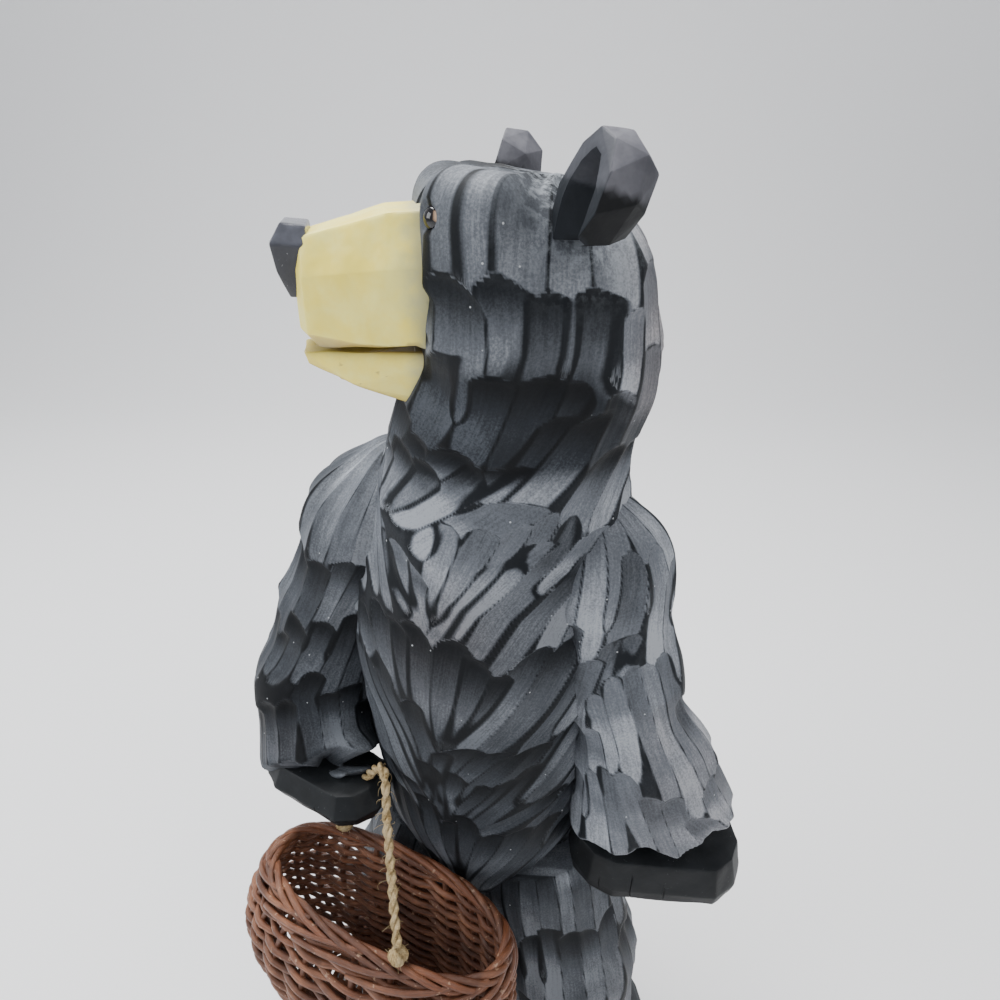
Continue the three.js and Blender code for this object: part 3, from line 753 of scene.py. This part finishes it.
def make_fur():
    """The carved skin of every limb, in pieces, less what is buried in the others."""
    pieces = []
    every_part = {part for spec in TUBES for part in spec["parts"]}
    for spec in TUBES:
        sides = spec["sides"]
        last = spec["pieces"][-1][1]
        lines = np.linspace(spec.get("top", 0.2), last, round(last / GRID))
        run, angle = np.broadcast_arrays(lines[:, None], np.arange(sides)[None] * 360 / sides)
        centre, ray, reach = cast_grid(spec, run, angle)
        depth, margin, inside = carve(spec, run, angle)
        points = centre + ray * np.maximum(reach + depth, 0.6)[..., None]
        others = [part for part in every_part if part not in spec["parts"]]
        buried = (mass_distance(points.reshape(-1, 3), others) < BURIED).reshape(run.shape)
        buried |= points[..., 2] < BASE_THICKNESS - 2
        across = inside[..., 2] * np.radians(360 / spec["rows"][1]["columns"] / 2) * reach
        stroke = np.stack([across + inside[..., 3] * 31, run, inside[..., 3]], -1)
        along = np.clip(inside[..., 0], 0, 1)
        carved = np.stack([np.clip(margin, 0, 2), along, inside[..., 1], 0 * depth], -1)
        first = 0
        for name, end in spec["pieces"]:
            final = len(lines) - 1 if end == last else int(np.searchsorted(lines, end))
            part = slice(first, final + 1)
            count = final + 1 - first
            grid = np.arange(count * sides).reshape(count, sides)
            turned = np.roll(grid, -1, axis=1)
            quads = np.stack([grid[:-1], grid[1:], turned[1:], turned[:-1]], -1).reshape(-1, 4)
            hidden = buried[part].ravel()
            quads = quads[~hidden[quads].all(1)]
            faces = quads.tolist()
            if first == 0:
                faces.append(grid[0].tolist())
            if final == len(lines) - 1:
                faces.append(grid[-1][::-1].tolist())
            used = np.zeros(count * sides, bool)
            used[[i for face in faces for i in face]] = True
            renumber = np.cumsum(used) - 1
            faces = [[int(renumber[i]) for i in face] for face in faces]
            shown = points[part].reshape(-1, 3)[used]
            layers = {
                "carve": carved[part].reshape(-1, 4)[used],
                "stroke": stroke[part].reshape(-1, 3)[used],
                "zone": paint_and_light_zones(shown),
            }
            pieces.append(make_object(name, shown, faces, layers))
            first = final
    return pieces


furs = make_fur()


# Blocks: faceted ends, muzzle, nose, ears, feet and base
def hull_mesh(points, bevel):
    bm = bmesh.new()
    for p in points:
        bm.verts.new(Vector(p))
    bmesh.ops.convex_hull(bm, input=bm.verts)
    loose = [v for v in bm.verts if not v.link_faces]
    bmesh.ops.delete(bm, geom=loose, context="VERTS")
    bmesh.ops.dissolve_limit(bm, angle_limit=math.radians(2), verts=bm.verts, edges=bm.edges)
    if bevel:
        bmesh.ops.bevel(
            bm, geom=bm.edges[:], offset=bevel, segments=2, profile=0.6, affect="EDGES", clamp_overlap=True
        )
    bmesh.ops.recalc_face_normals(bm, faces=bm.faces)
    mesh = bpy.data.meshes.new("block")
    bm.to_mesh(mesh)
    bm.free()
    return mesh


def cut(mesh, cutters):
    """A mesh with others cut from it."""
    body = placed("cutting", mesh)
    helpers = []
    for cutter in cutters:
        helpers.append(placed("cutter", cutter))
        modifier = body.modifiers.new("cut", "BOOLEAN")
        modifier.operation = "DIFFERENCE"
        modifier.solver = "EXACT"
        modifier.object = helpers[-1]
    depsgraph = bpy.context.evaluated_depsgraph_get()
    result = bpy.data.meshes.new_from_object(body.evaluated_get(depsgraph))
    for item in [body, *helpers]:
        bpy.data.objects.remove(item)
    return result


def block(name, meshes, colour, finest=3.0, sharp=24, rough=0.25):
    """One object from faceted meshes in millimetres, with its paint worked out point by point."""
    bm = bmesh.new()
    for mesh in meshes:
        bm.from_mesh(mesh)
    bmesh.ops.triangulate(bm, faces=bm.faces)
    for _ in range(5):
        long = [e for e in bm.edges if e.calc_length() > finest]
        if not long:
            break
        bmesh.ops.subdivide_edges(bm, edges=long, cuts=1)
        bmesh.ops.triangulate(bm, faces=[f for f in bm.faces if len(f.verts) > 3])
    bm.normal_update()
    points = np.array([v.co for v in bm.verts])
    normals = np.array([v.normal for v in bm.verts])
    wobble = np.sin(points[:, 0] * 0.31 + 2 * np.sin(points[:, 1] * 0.23)) * np.sin(points[:, 2] * 0.27 + 1)
    points = points + normals * (rough * wobble)[:, None]
    faces = [[v.index for v in f.verts] for f in bm.faces]
    bm.free()
    return make_object(name, points, faces, {"paint": colour(points, normals)}, sharp=sharp)


def paired(spots):
    return [in_head(a, side * b, c) for a, b, c in spots for side in (1, -1)]


MUZZLE = paired([
    (34, 20, 34), (34, 29, 18), (34, 29, -9), (84, 11, 26), (85, 16, 14), (85, 16, -4), (82, 12, -10),
    (88, 6, 17), (88, 7, -4), (58, 24.5, 17), (66, 22.5, -7), (56, 17.5, 33),
])
JAW = paired([
    (30, 25, -11), (30, 17, -34), (88, 8, -12), (87, 6, -17), (72, 11, -24), (48, 12, -34),
])
MOUTH = paired([(96, 40, -10.5), (96, 40, -12), (50, 40, -7), (50, 40, -11.5), (45, 40, -9)])
NOSE = paired([
    (82, 10, 29), (90, 8, 30), (94, 11, 24), (93, 9, 15), (90, 6, 6), (84, 8, 6), (82, 13, 23),
])
EAR_SHELL = [
    (9, 33, 27), (6, 36, 42), (1, 42, 53), (-2, 49, 57), (-4, 56, 54), (-1, 62, 46), (3, 63, 36),
    (7, 56, 27), (-2, 38, 28), (-8, 40, 48), (-11, 50, 56), (-12, 60, 50), (-9, 62, 38), (-4, 56, 27),
    (-15, 44, 38), (-17, 49, 49), (-17, 56, 45), (-14, 56, 35), (-11, 50, 28),
]
EAR_CUP = [
    (20, 35, 24), (14, 38, 42), (9, 43.5, 51), (6, 49.5, 55.5), (6, 56.5, 52.5), (10, 61.5, 44.5),
    (18, 62, 26), (-1, 45, 26), (-7, 47, 45), (-9, 52, 47), (-6, 56, 40), (-3, 54, 28),
]
EAR_LEAD = 8


def head_parts(points):
    off = points - HEAD_CENTRE
    return off @ HEAD_FORWARD, off @ HEAD_LEFT, off[:, 2]


def muzzle_paint(points, normals):
    ahead, _, rise = head_parts(points)
    root = 1 - smooth(ahead, 40, 60)
    # Painted shade: the facets that face down are marked to be painted darker
    painted_underside_shade = smooth(-normals[:, 2], 0.2, 0.8)
    lips = np.exp(-(((rise + 10.5) / 2.6) ** 2))
    return np.stack([root, painted_underside_shade, np.clip(lips, 0, 1), 0 * root], -1)


def painted_top_light(points, normals):
    # Painted light: how far each point faces up, so the upward facets can be painted lighter as if lit from
    # above
    up = smooth(normals[:, 2], -0.6, 0.8)
    return np.stack([up, 0 * up, 0 * up, 0 * up], -1)


def ear_paint(points, normals):
    ahead, _, rise = head_parts(points)
    hollow = smooth(normals @ HEAD_FORWARD, 0.1, 0.5)
    low = 1 - smooth(rise - 0.3 * ahead, 41.5, 43)
    # Painted light: the facets that face up are made lighter, each with a tone set from the way it faces
    facet = 0.5 + 0.5 * np.sin(normals @ np.array([5.1, 3.7, 6.3]))
    up = smooth(normals[:, 2], -0.5, 0.8) * (0.55 + 0.45 * facet)
    return np.stack([up, hollow, low, 0 * low], -1)


def paw_end(first, second, radius, levels, sides=12):
    """Points of a block round two places, with how far each level stands in from the radius."""
    points = []
    for height, inset in levels:
        for i in range(sides):
            angle = 2 * math.pi * (i + 0.5) / sides
            ray = np.array([math.cos(angle), math.sin(angle)])
            centre = max((np.array(first, float), np.array(second, float)), key=lambda c: float(c @ ray))
            points.append((*(centre + ray * (radius - inset)), height))
    return points


def groove(x, y, z):
    """A cutter for the line between two toes."""
    points = []
    for dy, half in ((-17, 0.8), (17, 0.4)):
        for dx, dz in ((-half, 20), (half, 20), (-half * 0.6, -20), (half * 0.6, -20)):
            points.append((x + dx, y + dy, z + dz))
    return hull_mesh(points, 0)


muzzle = block(
    "bear_muzzle",
    [cut(hull_mesh(MUZZLE, 0.7), [hull_mesh(MOUTH, 0)]), cut(hull_mesh(JAW, 0.7), [hull_mesh(MOUTH, 0)])],
    muzzle_paint,
    finest=2.5,
    sharp=12,
)
nose = block("bear_nose", [hull_mesh(NOSE, 0.8)], painted_top_light, finest=2.5, sharp=22, rough=0.1)
ear_meshes = []
for side in (1, -1):
    lead = EAR_LEAD if side < 0 else 0
    shell = [in_head(a + lead, side * b, c) for a, b, c in EAR_SHELL]
    cup = [in_head(a + lead, side * b, c) for a, b, c in EAR_CUP]
    ear_meshes.append(cut(hull_mesh(shell, 0.5), [hull_mesh(cup, 0)]))
ears = block("bear_ears", ear_meshes, ear_paint, finest=3.0, sharp=9, rough=0.1)

left_paw = cut(
    hull_mesh(paw_end((87, 0), (121, 12), 25, [(248, 3), (232, -0.5), (225, 1), (221, 5)]), 0.9),
    [groove(x, y, 226) for x, y in ((86, -40.5), (101, -36.5), (116, -31.5))],
)
right_paw = cut(
    hull_mesh(paw_end((-72, -47), (-43, -49), 22, [(268, 6), (258, 0), (249, 4), (243, 10)]), 0.9),
    [groove(x, -86, 244) for x in (-76, -63, -50)],
)
foot_meshes = []
for side in (1, -1):
    toes = (8 + side * 61, -46)
    heel = (8 + side * 57, 14)
    foot = hull_mesh(paw_end(toes, heel, 28, [(58, 12), (42, 2), (24, -1), (8, 1)]), 1.0)
    cutters = [groove(8 + side * 61 + x, -88 + abs(x) / 5, 30) for x in (-11, 0, 11)]
    foot_meshes.append(cut(foot, cutters))
paws = block("bear_paws", [left_paw, right_paw, *foot_meshes], painted_top_light, finest=4.0, sharp=22)


def base_points():
    """The low base: a rounded slab with its edges taken off."""
    points = []
    levels = [(0, BASE_CHAMFER), (BASE_CHAMFER, 0)]
    levels += [(BASE_THICKNESS - BASE_CHAMFER, 0), (BASE_THICKNESS, BASE_CHAMFER)]
    for height, inset in levels:
        for corner in range(4):
            sx = 1 if corner in (0, 3) else -1
            sy = 1 if corner in (0, 1) else -1
            cx = BASE_MIDDLE[0] + sx * (BASE_LENGTH / 2 - BASE_CORNER)
            cy = BASE_MIDDLE[1] + sy * (BASE_DEPTH / 2 - BASE_CORNER)
            for angle in math.pi / 2 * (corner + np.arange(7) / 6):
                x = cx + math.cos(angle) * (BASE_CORNER - inset)
                y = cy + math.sin(angle) * (BASE_CORNER - inset)
                points.append((x, y, height))
    return points


base = block("bear_base", [hull_mesh(base_points(), 0)], painted_top_light, finest=5.0, sharp=28, rough=0.0)


def ball(centre, radius, rings=18, sides=28):
    points = []
    for i in range(rings + 1):
        tilt = math.pi * i / rings
        for j in range(sides):
            turn = 2 * math.pi * j / sides
            ray = [math.sin(tilt) * math.cos(turn), math.sin(tilt) * math.sin(turn), math.cos(tilt)]
            points.append(centre + radius * np.array(ray))
    faces = []
    for i in range(rings):
        for j in range(sides):
            k = (j + 1) % sides
            faces.append([i * sides + j, (i + 1) * sides + j, (i + 1) * sides + k, i * sides + k])
    return np.array(points), faces


def make_eyes():
    parts = []
    for side in (1, -1):
        centre = EYE_PLACE[side] - EYE_NORMAL[side] * 3.0
        points, faces = ball(centre, 4.2)
        off = unit(points - centre)
        outward = unit(HEAD_LEFT * side * 0.9 - HEAD_FORWARD * 0.1 + UP * 0.25)
        lean = off @ outward
        corner = smooth(lean, 0.87, 0.90) * smooth(off[:, 2], -0.15, 0.05)
        paint = np.stack([corner, 0 * corner, 0 * corner, 0 * corner], -1)
        parts.append((points, faces, paint))
    vertices, faces, values = joined(parts)
    return make_object("bear_eyes", vertices, faces, {"paint": values})


eyes = make_eyes()

for piece in (*furs, muzzle, nose, ears, paws, base, eyes):
    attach(piece, "root")
    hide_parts("bear")


# Basket, woven rod by rod
WEAVE_ROWS = 24
ROD_RADIUS = 1.75
STAKE_RADIUS = 1.7
BORDER_STRANDS = 4
SLANT_COUNT = STAKE_COUNT * 2 // 3


def make_basket():
    rng = np.random.default_rng(11)
    parts = []
    turns = 2 * np.pi * np.arange(STAKE_COUNT) / STAKE_COUNT
    border_share = 1 - BORDER_WIDTH / BASKET_HEIGHT
    for n, angle in enumerate(turns):
        share = np.linspace(0.0, 0.985, 26)
        path = basket_point(share, angle + 0.012 * vary(n, 1), 2.6)
        radial = unit(path[10] - BASKET_MIDDLE * [1, 1, 0] - UP * path[10][2])
        parts.append(tube(path, STAKE_RADIUS, 8, radial, tone=chance(n, 2), kind=1))
    samples = STAKE_COUNT * 6
    angle = 2 * np.pi * np.arange(samples) / samples
    for n in range(WEAVE_ROWS):
        share = 0.018 + (border_share - 0.03) * (n / (WEAVE_ROWS - 1)) ** 1.06
        sway = 2.0 * np.cos(STAKE_COUNT * angle / 2 + np.pi * n)
        drift = 0.0055 * np.sin(3 * angle + 2.3 * n) + 0.004 * np.sin(7 * angle + 1.1 * n)
        path = basket_point(share + drift, angle, 2.6 - sway)
        radii = ROD_RADIUS * (1 + 0.1 * np.sin(2 * angle + n * 1.7) + 0.06 * rng.normal(0, 1, samples))
        parts.append(tube(path, radii, 8, UP, closed=True, tone=chance(n, 4)))
    samples = STAKE_COUNT * 8
    angle = 2 * np.pi * np.arange(samples) / samples
    for n in range(BORDER_STRANDS):
        phase = angle * 5 + 2 * np.pi * n / BORDER_STRANDS
        share = border_share + 0.055 + 0.024 * np.sin(phase)
        path = basket_point(share, angle, 1.9 + 2.0 * np.cos(phase))
        radii = 1.6 * (1 + 0.1 * np.sin(5 * angle + n * 2.1))
        parts.append(tube(path, radii, 9, UP, closed=True, tone=chance(n, 6)))
    for n in range(SLANT_COUNT):
        start = 2 * np.pi * n / SLANT_COUNT
        t = np.linspace(0, 1, 15)
        sweep = start + t * 0.85
        share = border_share - 0.055 + 0.125 * t
        inset = -0.3 - 1.7 * np.sin(np.pi * t) + 1.4 * t
        path = basket_point(share, sweep, inset)
        parts.append(tube(path, 1.75 - 0.3 * t, 8, UP, tone=chance(n, 8)))
    floor = np.linspace(0.08, 0.97, 15)
    for n, reach in enumerate(floor):
        edge = basket_point(0.0, angle, 3.0)
        middle = BASKET_MIDDLE * [1, 1, 0] + UP * (RIM_TOP - BASKET_HEIGHT + 2.4)
        path = middle + (edge - middle * [1, 1, 0] - UP * edge[:, 2:]) * reach
        path[:, 2] = middle[2] + 0.9 * np.cos(6 * angle + np.pi * n)
        parts.append(tube(path, 1.7, 6, UP, closed=True, tone=chance(n, 9)))
    vertices, faces, values = joined(parts)
    return make_object("basket_rods", vertices, faces, {"along": values})


basket = make_basket()
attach(basket, "root")
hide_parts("basket")


# Materials
class Nodes:
    """Short names for the shader nodes of one material."""

    def __init__(self, name, roughness, specular=0.5):
        self.material = bpy.data.materials.new(name)
        self.material.use_nodes = True
        self.tree = self.material.node_tree
        self.shader = self.tree.nodes["Principled BSDF"]
        self.shader.inputs["Roughness"].default_value = roughness
        self.shader.inputs["Specular IOR Level"].default_value = specular
        self.place = self.put("TexCoord").outputs["Object"]

    def put(self, kind, values=None, **settings):
        node = self.tree.nodes.new("ShaderNode" + kind)
        for key, value in settings.items():
            setattr(node, key, value)
        for key, value in (values or {}).items():
            self.feed(node.inputs[key], value)
        return node

    def feed(self, socket, value):
        if isinstance(value, bpy.types.NodeSocket):
            self.tree.links.new(value, socket)
        else:
            socket.default_value = value

    def attribute(self, name, output="Color"):
        return self.put("Attribute", attribute_name=name).outputs[output]

    def split(self, colour):
        return self.put("SeparateColor", {0: colour}).outputs

    def stretch(self, vector, scale):
        return self.put("VectorMath", {0: vector, 1: scale}, operation="MULTIPLY").outputs[0]

    def noise(self, vector, scale, detail=3, rough=0.55):
        values = {"Vector": vector, "Scale": scale, "Detail": detail, "Roughness": rough}
        return self.put("TexNoise", values).outputs["Fac"]

    def math(self, operation, a, b):
        return self.put("Math", {0: a, 1: b}, operation=operation).outputs[0]

    def times(self, a, b):
        return self.math("MULTIPLY", a, b)

    def vector(self, x, y, z):
        return self.put("CombineXYZ", {0: x, 1: y, 2: z}).outputs[0]

    def span(self, value, low, high, to_low=0.0, to_high=1.0):
        values = {"Value": value, "From Min": low, "From Max": high, "To Min": to_low, "To Max": to_high}
        return self.put("MapRange", values, interpolation_type="SMOOTHSTEP").outputs["Result"]

    def mix(self, factor, a, b, blend="MIX"):
        node = self.put("Mix", data_type="RGBA", blend_type=blend)
        for index, value in ((0, factor), (6, a), (7, b)):
            if isinstance(value, tuple) and len(value) == 3:
                value = (*value, 1)
            self.feed(node.inputs[index], value)
        return node.outputs[2]

    def bump(self, height, strength, distance, below=None):
        node = self.put("Bump", {"Strength": strength, "Distance": distance, "Height": height})
        if below is not None:
            self.tree.links.new(below, node.inputs["Normal"])
        return node.outputs["Normal"]

    def finish(self, colour, normal=None, roughness=None):
        self.feed(self.shader.inputs["Base Color"], colour)
        if normal is not None:
            self.feed(self.shader.inputs["Normal"], normal)
        if roughness is not None:
            self.feed(self.shader.inputs["Roughness"], roughness)
        return self.material


BLACK = (0.0055, 0.006, 0.007)
CHARCOAL = (0.020, 0.023, 0.028)
SLATE = (0.155, 0.168, 0.190)
DRY_BRUSH = (0.36, 0.38, 0.41)
BONE = (0.62, 0.64, 0.66)


def fur_material():
    n = Nodes("carved_resin_fur", 0.6, 0.1)
    margin, along, tone = n.split(n.attribute("carve"))[:3]
    light, warm, scuff = n.split(n.attribute("zone"))[:3]
    stroke = n.attribute("stroke", "Vector")
    streak = n.noise(n.stretch(stroke, (0.8, 0.06, 1.0)), 1.0, 4, 0.6)
    fine = n.noise(n.stretch(stroke, (2.4, 0.3, 1.0)), 1.0, 2, 0.5)
    patch = n.noise(n.place, 30.0, 3, 0.55)
    grain = n.noise(n.place, 1100.0, 3, 0.7)
    # Darker along the lines where strokes meet: partly dark paint in the crevices, partly painted shade
    # there
    centre = n.span(margin, 0.16, 0.72, 0.13, 1.0)
    # Darker at the start of each stroke, under the tips of the row above: partly airbrushed paint, partly
    # painted shadow under the overlap; less so where the fur is lighter
    reach = n.span(along, -0.02, 0.55, 0.18, 1.0)
    reach = n.math("MAXIMUM", reach, n.span(light, 0.55, 1.0, 0.18, 0.66))
    shade = n.times(centre, reach)
    for value, *ends in (
        (tone, 0.0, 1.0, 0.72, 1.15),
        (streak, 0.30, 0.68, 0.87, 1.08),
        (patch, 0.34, 0.66, 0.8, 1.15),
        (grain, 0.34, 0.66, 0.86, 1.14),
    ):
        shade = n.times(shade, n.span(value, *ends))
    dark = n.mix(n.span(shade, 0.05, 0.75), BLACK, CHARCOAL)
    dark = n.mix(n.span(shade, 0.6, 1.35), dark, (0.075, 0.084, 0.098))
    pale = n.mix(n.span(shade, 0.08, 0.8), (0.012, 0.014, 0.017), SLATE)
    pale = n.mix(n.span(shade, 0.65, 1.25), pale, DRY_BRUSH)
    # The light channel picks between the dark and pale colours: partly airbrushed paint, partly painted
    # light and shade
    colour = n.mix(light, dark, pale)
    lip = n.times(n.span(along, 0.86, 0.97), n.span(fine, 0.42, 0.62))
    edge = n.times(lip, n.span(light, 0.1, 0.95, 0.08, 0.5))
    colour = n.mix(edge, colour, DRY_BRUSH)
    warmth = n.times(warm, n.span(patch, 0.32, 0.6, 0.35, 0.85))
    warmed = n.mix(0.85, colour, (1.0, 0.84, 0.76), "MULTIPLY")
    colour = n.mix(warmth, colour, warmed)
    worn = n.times(scuff, n.span(n.noise(n.place, 210.0, 5, 0.7), 0.44, 0.62))
    colour = n.mix(n.times(worn, 0.65), colour, (0.36, 0.39, 0.42))
    speck = n.put("TexVoronoi", {"Vector": n.place, "Scale": 210.0, "Randomness": 1.0})
    chosen = n.math("GREATER_THAN", n.split(speck.outputs["Color"])[0], 0.88)
    dot = n.times(n.span(speck.outputs["Distance"], 0.05, 0.10, 1.0, 0.0), chosen)
    colour = n.mix(n.times(dot, 0.8), colour, BONE)
    bumped = n.bump(streak, 0.14, 0.0010)
    bumped = n.bump(grain, 0.14, 0.0004, bumped)
    return n.finish(colour, bumped, n.span(patch, 0.3, 0.7, 0.48, 0.66))


def muzzle_material():
    n = Nodes("painted_resin_muzzle", 0.42, 0.5)
    root, painted_underside_shade, lips = n.split(n.attribute("paint"))[:3]
    patch = n.noise(n.place, 60.0, 4, 0.6)
    grain = n.noise(n.place, 420.0, 3, 0.6)
    colour = n.mix(n.span(patch, 0.35, 0.65), (1.0, 0.82, 0.13), (1.0, 0.9, 0.25))
    # Painted shade: darker brown on the facets that face down
    colour = n.mix(n.times(painted_underside_shade, 0.85), colour, (0.38, 0.24, 0.05))
    smoke = n.math("ADD", root, n.span(patch, 0.3, 0.7, -0.15, 0.15))
    colour = n.mix(n.span(smoke, 0.15, 0.85, 0.0, 0.7), colour, (0.30, 0.31, 0.24))
    colour = n.mix(n.span(smoke, 0.82, 1.05, 0.0, 0.9), colour, (0.05, 0.055, 0.06))
    colour = n.mix(n.times(lips, 0.75), colour, (0.12, 0.085, 0.04))
    bumped = n.bump(n.noise(n.place, 90.0, 2, 0.5), 0.5, 0.0016)
    bumped = n.bump(grain, 0.12, 0.0005, bumped)
    return n.finish(colour, bumped)


def black_material(name, roughness, specular, dark, light, brushed):
    """Near-black facets, with painted light from above: the facets that face up are made lighter."""
    n = Nodes(name, roughness, specular)
    up = n.split(n.attribute("paint"))[0]
    patch = n.noise(n.place, 70.0, 4, 0.6)
    # Painted light: the facets that face up get the lighter colour
    colour = n.mix(n.times(up, n.span(patch, 0.3, 0.65, 0.5, 1.0)), dark, light)
    dust = n.math("GREATER_THAN", n.noise(n.place, 800.0, 2, 0.6), 0.73)
    colour = n.mix(n.times(dust, brushed), colour, BONE)
    bumped = n.bump(n.noise(n.place, 110.0, 3, 0.5), 0.35, 0.0012)
    return n.finish(colour, bumped)


def ear_material():
    n = Nodes("carved_resin_ears", 0.55, 0.15)
    up, hollow, low = n.split(n.attribute("paint"))[:3]
    patch = n.noise(n.place, 75.0, 4, 0.6)
    colour = n.mix(n.span(patch, 0.3, 0.7), (0.09, 0.09, 0.105), (0.16, 0.16, 0.18))
    # Painted light: facets that face down go towards black, while those that face up stay lighter
    colour = n.mix(n.span(up, 0.0, 1.0, 0.4, 0.0), colour, BLACK)
    colour = n.mix(n.times(low, 0.97), colour, (0.003, 0.0035, 0.004))
    colour = n.mix(n.times(hollow, 0.6), colour, (0.02, 0.024, 0.03))
    bumped = n.bump(n.noise(n.place, 130.0, 3, 0.5), 0.4, 0.0012)
    return n.finish(colour, bumped)


def eye_material():
    n = Nodes("painted_resin_eye", 0.12, 0.6)
    corner = n.split(n.attribute("paint"))[0]
    return n.finish(n.mix(corner, (0.004, 0.004, 0.005), (0.75, 0.50, 0.33)))


def wicker_material():
    n = Nodes("stained_wicker", 0.42, 0.45)
    turn, way, tone = n.split(n.attribute("along"))[:3]
    shaded_stake = n.attribute("along", "Alpha")
    lines = n.vector(n.times(turn, 2.5), n.times(way, 0.06), tone)
    grain = n.noise(lines, 3.0, 4, 0.65)
    patch = n.noise(n.place, 48.0, 3, 0.6)
    colour = n.mix(tone, (0.10, 0.034, 0.014), (0.21, 0.072, 0.030))
    colour = n.mix(n.span(patch, 0.38, 0.70), colour, (0.33, 0.135, 0.065))
    colour = n.mix(n.span(grain, 0.35, 0.7, 0.6, 0.0), colour, (0.035, 0.012, 0.007))
    worn = n.math("GREATER_THAN", n.noise(n.place, 260.0, 3, 0.6), 0.66)
    colour = n.mix(n.times(worn, 0.5), colour, (0.50, 0.33, 0.22))
    # Painted shade: the stakes, which show mostly in the crevices between the weavers, are darkened
    colour = n.mix(n.times(shaded_stake, 0.45), colour, (0.05, 0.02, 0.014))
    bumped = n.bump(grain, 0.5, 0.0008)
    return n.finish(colour, bumped)


def jute_material():
    n = Nodes("jute_twine", 0.9, 0.15)
    turn, way = n.split(n.attribute("along"))[:2]
    fibre = n.noise(n.vector(n.times(turn, 4.0), n.times(way, 0.35), 0.0), 2.0, 4, 0.7)
    colour = n.mix(n.span(fibre, 0.32, 0.7), (0.20, 0.125, 0.045), (0.66, 0.50, 0.27))
    colour = n.mix(n.span(n.noise(n.place, 160.0, 3, 0.6), 0.4, 0.7, 0.0, 0.5), colour, (0.74, 0.62, 0.40))
    return n.finish(colour, n.bump(fibre, 0.8, 0.0009))


# Each pair holds the near-black paint and the lighter colour painted on the upward facets as light from
# above
NOSE_PAINT_AND_TOP_LIGHT = ((0.006, 0.006, 0.008), (0.12, 0.125, 0.15))
PAW_PAINT_AND_TOP_LIGHT = ((0.004, 0.0045, 0.005), (0.016, 0.018, 0.020))
BASE_PAINT_AND_TOP_LIGHT = ((0.010, 0.011, 0.012), (0.035, 0.038, 0.042))
for pieces, material in (
    ([muzzle], muzzle_material()),
    ([nose], black_material("glossy_resin_nose", 0.22, 0.5, *NOSE_PAINT_AND_TOP_LIGHT, 0.25)),
    ([ears], ear_material()),
    ([paws], black_material("carved_resin_paws", 0.5, 0.18, *PAW_PAINT_AND_TOP_LIGHT, 0.10)),
    ([base], black_material("cast_resin_base", 0.6, 0.2, *BASE_PAINT_AND_TOP_LIGHT, 0.1)),
    ([eyes], eye_material()),
    ([basket], wicker_material()),
    (furs, fur_material()),
    ([twine, fibres, knot_front_piece, knot_back_piece], jute_material()),
):
    for piece in pieces:
        piece.data.materials.append(material)


# Stage and light: a pale sweep and soft light from above
def make_stage():
    turns = np.linspace(0, np.pi / 2, 16)
    bend = [(1.2 + 0.9 * math.sin(turn), 0.9 - 0.9 * math.cos(turn)) for turn in turns]
    profile = [(-3.0, 0.0), *bend, (2.1, 4.0)]
    across = math.cos(CAMERA_AZIMUTH)
    along = math.sin(CAMERA_AZIMUTH)
    vertices = []
    for away, height in profile:
        for right in (-4, 4):
            x = right * across - away * along
            y = right * along + away * across
            vertices.append((x / MM, y / MM, height / MM))
    faces = [[2 * i, 2 * i + 1, 2 * i + 3, 2 * i + 2] for i in range(len(profile) - 1)]
    sweep = make_object("sweep", vertices, faces)
    n = Nodes("pale_sweep", 0.9, 0.2)
    n.shader.inputs["Emission Color"].default_value = (1, 1, 1, 1)
    n.shader.inputs["Emission Strength"].default_value = 0.14
    sweep.data.materials.append(n.finish((0.80, 0.80, 0.805, 1)))


def area_light(name, place, aim, size, power, colour=(1, 1, 1)):
    data = bpy.data.lights.new(name, "AREA")
    data.shape = "SQUARE"
    data.size = size
    data.energy = power
    data.color = colour
    light = placed(name, data)
    light.location = place
    light.rotation_mode = "QUATERNION"
    light.rotation_quaternion = (Vector(aim) - Vector(place)).to_track_quat("-Z", "Y")


make_stage()
area_light("overhead", (-0.35, 0.25, 1.7), (0, 0, 0.35), 0.8, 42)
area_light("front_left", (-1.2, -1.1, 1.15), (0, 0, 0.35), 1.1, 21, (0.96, 0.98, 1))
area_light("right", (1.35, -0.35, 1.2), (0, 0, 0.35), 0.9, 9, (1, 0.985, 0.96))
world = bpy.data.worlds.new("studio")
world.use_nodes = True
world.node_tree.nodes["Background"].inputs[0].default_value = (0.9, 0.93, 1.0, 1)
world.node_tree.nodes["Background"].inputs[1].default_value = 0.5
bpy.context.scene.world = world
